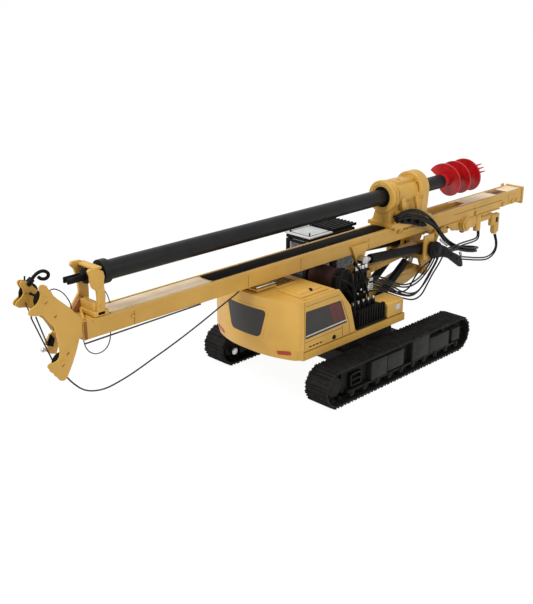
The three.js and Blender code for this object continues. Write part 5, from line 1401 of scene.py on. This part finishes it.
# ------------------------------------------------------------------ rotary head
# A waisted yellow gear housing stands between a bolted ring and an arched front plate.
# It has gussets, a filler boss and black hose ports, and its carriage is clamped to the
# mast's rails; a black apron beside it takes the hoses.
ROTARY = drawn_box("rotary_head")
KELLY = drawn_box("kelly_outer")
KELLY_Z = (KELLY[0].z + KELLY[1].z) / 2
RING_X = ROTARY[0].x + 0.5
ARCH_X = ROTARY[1].x - 6.5
RING_BOLTS = 12
RING_BOLT_CIRCLE = 6.2
GUSSETS = (
    ((32.6, 68.2), (35, 68.8), (40.4, 58.2), (35.4, 57.4)),
    ((43.4, 67.8), (45.8, 67.6), (50, 58.2), (45.8, 57.4)),
)
APRON = (
    (28, 58.8), (28.4, 60.4), (32, 60.6), (37.5, 59.8), (44.8, 57), (50.6, 53.8), (52, 52.4), (48, 52.6),
    (42.6, 54.4), (37.8, 55.9), (32.2, 57.2),
)


def ring(bm, x0, x1, inner, outer, z, edge=0.2, sides=44):
    """Adds a collar round a line along X at the height z: its section spun once round."""
    section = [
        (x0 + edge, inner), (x1 - edge, inner), (x1, inner + edge), (x1, outer - edge),
        (x1 - edge, outer), (x0 + edge, outer), (x0, outer - edge), (x0, inner + edge),
    ]
    corners = [bm.verts.new(at(x, 0, z + radius)) for x, radius in section]
    rim = [bm.edges.new(pair) for pair in zip(corners, corners[1:] + corners[:1])]
    bmesh.ops.spin(
        bm, geom=corners + rim, cent=at(x0, 0, z), axis=(1, 0, 0), angle=math.tau,
        steps=sides, use_merge=True,
    )
    bmesh.ops.recalc_face_normals(bm, faces=bm.faces)


soften("rotary_head", enamel, 0.3)
bm = bmesh.new()
ring(bm, RING_X - 0.4, RING_X + 1.5, 5.2, 7.5, KELLY_Z, 0.3)
ring(bm, RING_X - 0.2, RING_X + 1, 4.6, 5.4, KELLY_Z)
ring(bm, RING_X + 2.3, RING_X + 3.9, 5.4, 7.2, KELLY_Z, 0.3)
ring(bm, RING_X + 5.4, RING_X + 6.4, 5.4, 6.3, KELLY_Z)
ring(bm, ARCH_X - 3.4, ARCH_X - 1.6, 6.1, 7.9, KELLY_Z + 0.9, 0.35)
ring(bm, ARCH_X + 0.6, ARCH_X + 2.3, 4.1, 7.9, KELLY_Z + 0.9, 0.35)
build(bm, "rotary_collars", enamel, "rotary_drive")
bm = bmesh.new()
ring(bm, RING_X - 0.5, RING_X + 0.6, 3.85, 4.7, KELLY_Z)
build(bm, "rotary_seal", satin_black, "rotary_drive")
bm = bmesh.new()
for k in range(RING_BOLTS):
    turn = (k + 0.5) * math.tau / RING_BOLTS
    spot = (RING_BOLT_CIRCLE * math.sin(turn), KELLY_Z + RING_BOLT_CIRCLE * math.cos(turn))
    rod(bm, (RING_X - 0.6, *spot), (RING_X + 0.2, *spot), 0.42, sides=6, edge=0.06)
for side in (-1, 1):
    for x in (29, 34, 39, 44, 50):
        rod(bm, (x, side * 6.3, MAST_FACE + 1.8), (x, side * 6.3, MAST_FACE + 2.7), 0.5, sides=6, edge=0.06)
    for gusset in GUSSETS:
        extruded(bm, [at(x, side * 4.4, z) for x, z in gusset], Vector((0, side * 2.3 * MM, 0)), 0.25)
    inner, outer = sorted((side * 3.9, side * 5.4))
    block(bm, (30.4, inner, 58.4), (34.6, outer, 62.6), 0.3)
block(bm, (33.4, -3.4, KELLY_Z + 4.4), (46.4, 3.4, KELLY_Z + 6.4), 0.5)
rod(bm, (36.4, -1.4, KELLY_Z + 6.2), (36.4, -1.4, KELLY_Z + 6.8), 0.9, sides=20)
block(bm, (46.2, -5.2, KELLY_Z + 4.4), (47.6, 5.2, KELLY_Z + 7.2), 0.3)
build(bm, "rotary_fixings", enamel, "rotary_drive")
bm = bmesh.new()
rod(bm, (36.4, -1.4, KELLY_Z + 6.7), (36.4, -1.4, KELLY_Z + 6.9), 0.4, sides=14, edge=0.03)
for x in (29.2, 31.4, 33.6, 35.8):
    rod(bm, (x, -5.2, 60.6), (x, -7.6, 60.9), 0.62, sides=12)
build(bm, "rotary_ports", satin_black, "rotary_drive")

bm = bmesh.new()
extruded(bm, [at(x, -7.5, z) for x, z in APRON], Vector((0, -0.6 * MM, 0)), 0.2)
for x, z in ((31, 59.2), (36.4, 58.4), (43, 56.4)):
    block(bm, (x, -9.6, z - 1.2), (x + 1.3, -7.6, z + 1.8), 0.25)
build(bm, "hose_apron", satin_black, "rotary_drive")
bm = bmesh.new()
for n in range(3):
    x, y, z = 26.2 + 0.3 * n, -8.1 - 0.45 * n, 60.6 - 0.7 * n
    rod(bm, (x, y, z), (x + 2, y - 0.1, z + 0.5), 0.55, sides=12)
build(bm, "rotary_hose_ends", satin_black, "rotary_drive")

# ------------------------------------------------------------------ kelly bar
# The kelly bar is a satin black tube with a collar and a forked swivel at its upper
# end. Its inner bar slides in it and carries the tool.
kelly_black = coated(
    "kelly_black", "black_paint", tint(30, 30, 30), tint(24, 23, 24), 0.36, lump=8, grain=0.3, depth=0.01,
    coat=0.1, shine=0.1,
)
kelly_top = KELLY[0].x
swivel_top = drawn_box("kelly_swivel")[0].x
soften("kelly_outer", kelly_black, 0.2)
soften("kelly_inner", kelly_black, 0.15)
bm = bmesh.new()
rod(bm, (kelly_top - 2.6, 0, KELLY_Z), (kelly_top - 0.3, 0, KELLY_Z), 2.2, 2.8, sides=24, edge=0.3)
rod(bm, (kelly_top - 6.4, 0, KELLY_Z), (kelly_top - 2.5, 0, KELLY_Z), 2.8, 2.7, sides=24, edge=0.6)
rod(bm, (kelly_top - 7.6, 0, KELLY_Z), (kelly_top - 6.2, 0, KELLY_Z), 1.5, 1.9, sides=20, edge=0.2)
for side in (-1, 1):
    inner, outer = sorted((side * 0.7, side * 1.6))
    block(bm, (swivel_top, inner, KELLY_Z - 1.1), (swivel_top + 8, outer, KELLY_Z + 1.1), 0.3)
    pin_x = swivel_top + 1.4
    rod(bm, (pin_x, side * 0.6, KELLY_Z), (pin_x, side * 2.1, KELLY_Z), 1.1, 0.9, sides=16, edge=0.2)
rod(bm, (swivel_top + 6, -1.8, KELLY_Z), (swivel_top + 6, 1.8, KELLY_Z), 0.8, sides=14)
build(bm, "swivel_fork", satin_black, "kelly_bar", "kelly_swivel")

# ------------------------------------------------------------------ auger
# The short auger is cast in one piece and painted bright red: a core with a blunt tip, a
# flight of nearly three turns round it, and three teeth on the flight's front edge.
auger_red = coated(
    "auger_red", "red_paint", tint(186, 24, 28), tint(160, 18, 22), 0.3, lump=4, grain=0.3, depth=0.01,
    coat=0.2,
)
AUGER_START = 72.4
AUGER_END = 96.6
AUGER_TIP = 98.6
AUGER_R = 8.3
CORE_R = 3
BLADE = 0.9             # thickness of the flight
BLADE_EDGE = 0.15
FLIGHT_TURNS = 2.7
FLIGHT_PITCH = 8.6
FLIGHT_TWIST = -0.16    # where the flight starts, in turns from the top
FLIGHT_STEPS = 110
MID_R = 5.4             # an extra ring half way across the flight
ROOT_R = CORE_R - 0.4
FLIGHT_SECTION = [      # radius, and depth behind the front face
    (ROOT_R, 0), (MID_R, 0), (AUGER_R - BLADE_EDGE, 0), (AUGER_R, BLADE_EDGE),
    (AUGER_R, BLADE - BLADE_EDGE), (AUGER_R - BLADE_EDGE, BLADE), (MID_R, BLADE), (ROOT_R, BLADE),
]
TOOTH_ANGLES = (46, 60, 74)     # degrees beyond two whole turns


def on_flight(turn, radius, behind=0.0):
    """A point of the flight: turns from its top, radius, and depth behind its front face."""
    x = AUGER_START + 1.5 * BLADE + (turn - FLIGHT_TWIST) * FLIGHT_PITCH - behind
    angle = turn * math.tau
    return x, -radius * math.sin(angle), KELLY_Z + radius * math.cos(angle)


bm = bmesh.new()
rows = []
for i in range(FLIGHT_STEPS + 1):
    turn = FLIGHT_TWIST + FLIGHT_TURNS * i / FLIGHT_STEPS
    rows.append([bm.verts.new(at(*on_flight(turn, *corner))) for corner in FLIGHT_SECTION])
for first, second in zip(rows, rows[1:]):
    for k in range(len(FLIGHT_SECTION)):
        m = (k + 1) % len(FLIGHT_SECTION)
        bm.faces.new((first[k], first[m], second[m], second[k]))
bm.faces.new(rows[0])
bm.faces.new(list(reversed(rows[-1])))
bmesh.ops.recalc_face_normals(bm, faces=bm.faces)
rod(bm, (AUGER_START, 0, KELLY_Z), (AUGER_END, 0, KELLY_Z), CORE_R, sides=32, edge=0.2)
rod(bm, (AUGER_END - 0.2, 0, KELLY_Z), (AUGER_TIP, 0, KELLY_Z), 1.9, 0.4, sides=20, edge=0.15)
for degrees in TOOTH_ANGLES:
    turn = 2 + degrees / 360
    rod(bm, on_flight(turn, 7.5, 0.5), on_flight(turn, 8.1, -4.4), 0.55, 0.25, sides=8, edge=0.06)
build(bm, "auger_flight", auger_red, "drill_tool", "auger")

# ------------------------------------------------------------------ small winch
# The small winch hangs under the mast: a yellow frame with stepped round gear covers, a
# drum between them, and two hollow legs that its hoses enter.
AUX_HALF = 4.8
GEAR = (88.4, 45.7)       # centre of the gear covers, along and up
GEAR_STEPS = ((4, 3.5, 5.1), (3.5, 5, 5.9), (3.6, 5.8, 6.4), (2.4, 6.3, 7))   # radius, from, to
WINCH_CHEEK = ((73.4, 47.6), (77.3, 44.6), (83, 43.2), (83, 48), (73.4, 48))
bm = bmesh.new()
block(bm, (70, -AUX_HALF, 47.4), (121, AUX_HALF, 48.2), 0.2)
block(bm, (70, -3.6, 43.4), (76, 3.6, 48.2), 0.3)
for side in (-1, 1):
    inner, outer = sorted((side * 3.5, side * AUX_HALF))
    for x0, x1, z0 in ((79.4, 82.6, 44.2), (98, 100.4, 43.4)):
        block(bm, (x0, inner, z0), (x1, outer, 48.2), 0.3)
    for radius, y0, y1 in GEAR_STEPS:
        rod(bm, (GEAR[0], side * y0, GEAR[1]), (GEAR[0], side * y1, GEAR[1]), radius, sides=32, edge=0.15)
    block(bm, (92.4, inner, 42.4), (98.6, outer, 47.4), 0.4)
    cheek = [at(x, side * 4.2, z) for x, z in WINCH_CHEEK]
    extruded(bm, cheek, Vector((0, side * 0.7 * MM, 0)), 0.2)
block(bm, (99.2, -5, 39.6), (103.2, -2.8, 48.2), 0.35)
block(bm, (103, -4.2, 43.4), (117, 0.4, 46), 0.4)
block(bm, (106, -3.6, 45.6), (112, 3.6, 48.2), 0.4)
block(bm, (113.6, -4.9, 39.6), (117.4, -2.6, 45.6), 0.4)
block(bm, (116.4, -5, 35.4), (121, -2.4, 45.6), 0.5)
block(bm, (116.8, -4.8, 34.7), (120, -2.8, 36), 0.3)
build(bm, "small_winch_frame", enamel, "leader_mast", "aux_winch_frame")
# Thin black patches on the frame's sides are painted shade in its recesses.
bm = bmesh.new()
for side in (-1, 1):
    inner, outer = sorted((side * 4.75, side * 4.84))
    block(bm, (80, inner, 44.8), (82, outer, 46.8), 0.02)
block(bm, (117.4, -5.05, 41), (119.4, -4.9, 43.6), 0.02)
build(bm, "small_winch_painted_shade", satin_black, "leader_mast")
soften("aux_winch_drum", rope_brown, 0.15)

# ------------------------------------------------------------------ table and studio light
# The model stands on a white table under large soft lamps; the table keeps its shadow.
TABLE_HALF = 6.0
TABLE_DROP = 0.2        # the table lies this far under the tracks, millimetres
bm = bmesh.new()
bmesh.ops.create_grid(bm, x_segments=1, y_segments=1, size=TABLE_HALF)
bmesh.ops.translate(bm, verts=bm.verts, vec=(0, 0, -TABLE_DROP * MM))
table_top = bpy.data.objects.new("table", bpy.data.meshes.new("table"))
bm.to_mesh(table_top.data)
bm.free()
bpy.context.scene.collection.objects.link(table_top)

TABLE_SHADING = 0.10    # how much of the table's look is its own shading
TABLE_GLOW = 1.06       # what the rest of it gives, just past white
white = Finish("white_table", None, roughness=0.9)
white.feed("Base Color", (0.9, 0.9, 0.9, 1))
rays = white.node("ShaderNodeLightPath")
glossy = Reading(white, rays.socket.node.outputs["Is Glossy Ray"])
through = Reading(white, rays.socket.node.outputs["Is Transmission Ray"])
seen = rays.sum("MAXIMUM", rays, rays.sum("MAXIMUM", glossy, through))
glow = white.node("ShaderNodeEmission", inputs={"Color": (1, 1, 1, 1), "Strength": TABLE_GLOW})
surface = white.node(
    "ShaderNodeMixShader",
    inputs={0: seen * (1 - TABLE_SHADING), 1: Reading(white, white.shader.outputs[0]), 2: glow},
)
white.plug(white.tree.nodes["Material Output"].inputs["Surface"], surface)
table_top.data.materials.append(white.material)

SKY_LIGHT = 0.42
world = bpy.data.worlds.new("studio")
bpy.context.scene.world = world
world.use_nodes = True
sky = world.node_tree
backdrop = sky.nodes["Background"]
backdrop.inputs["Color"].default_value = (1, 1, 1, 1)
path = sky.nodes.new("ShaderNodeLightPath")
brighter = path.outputs["Is Camera Ray"]
for ray in ("Is Transmission Ray", "Is Glossy Ray"):
    either = sky.nodes.new("ShaderNodeMath")
    either.operation = "MAXIMUM"
    sky.links.new(brighter, either.inputs[0])
    sky.links.new(path.outputs[ray], either.inputs[1])
    brighter = either.outputs[0]
strength = sky.nodes.new("ShaderNodeMapRange")
strength.inputs["To Min"].default_value = SKY_LIGHT
strength.inputs["To Max"].default_value = 1.0
sky.links.new(brighter, strength.inputs["Value"])
sky.links.new(strength.outputs[0], backdrop.inputs["Strength"])


def lamp(name, place, target, size, power):
    light = bpy.data.lights.new(name, "AREA")
    light.shape = "SQUARE"
    light.size = size
    light.energy = power
    source = bpy.data.objects.new(name, light)
    bpy.context.scene.collection.objects.link(source)
    source.location = place
    source.rotation_euler = (Vector(target) - Vector(place)).to_track_quat("-Z", "Y").to_euler()


lamp("key_softbox", (-0.55, 0.1, 0.75), (0, 0, 0.04), 0.5, 6.5)
lamp("fill_softbox", (0.1, -0.9, 0.55), (0, 0, 0.04), 0.6, 3.0)

bpy.context.scene.view_settings.view_transform = "Standard"

# ------------------------------------------------------------------ the end
bpy.context.view_layer.update()
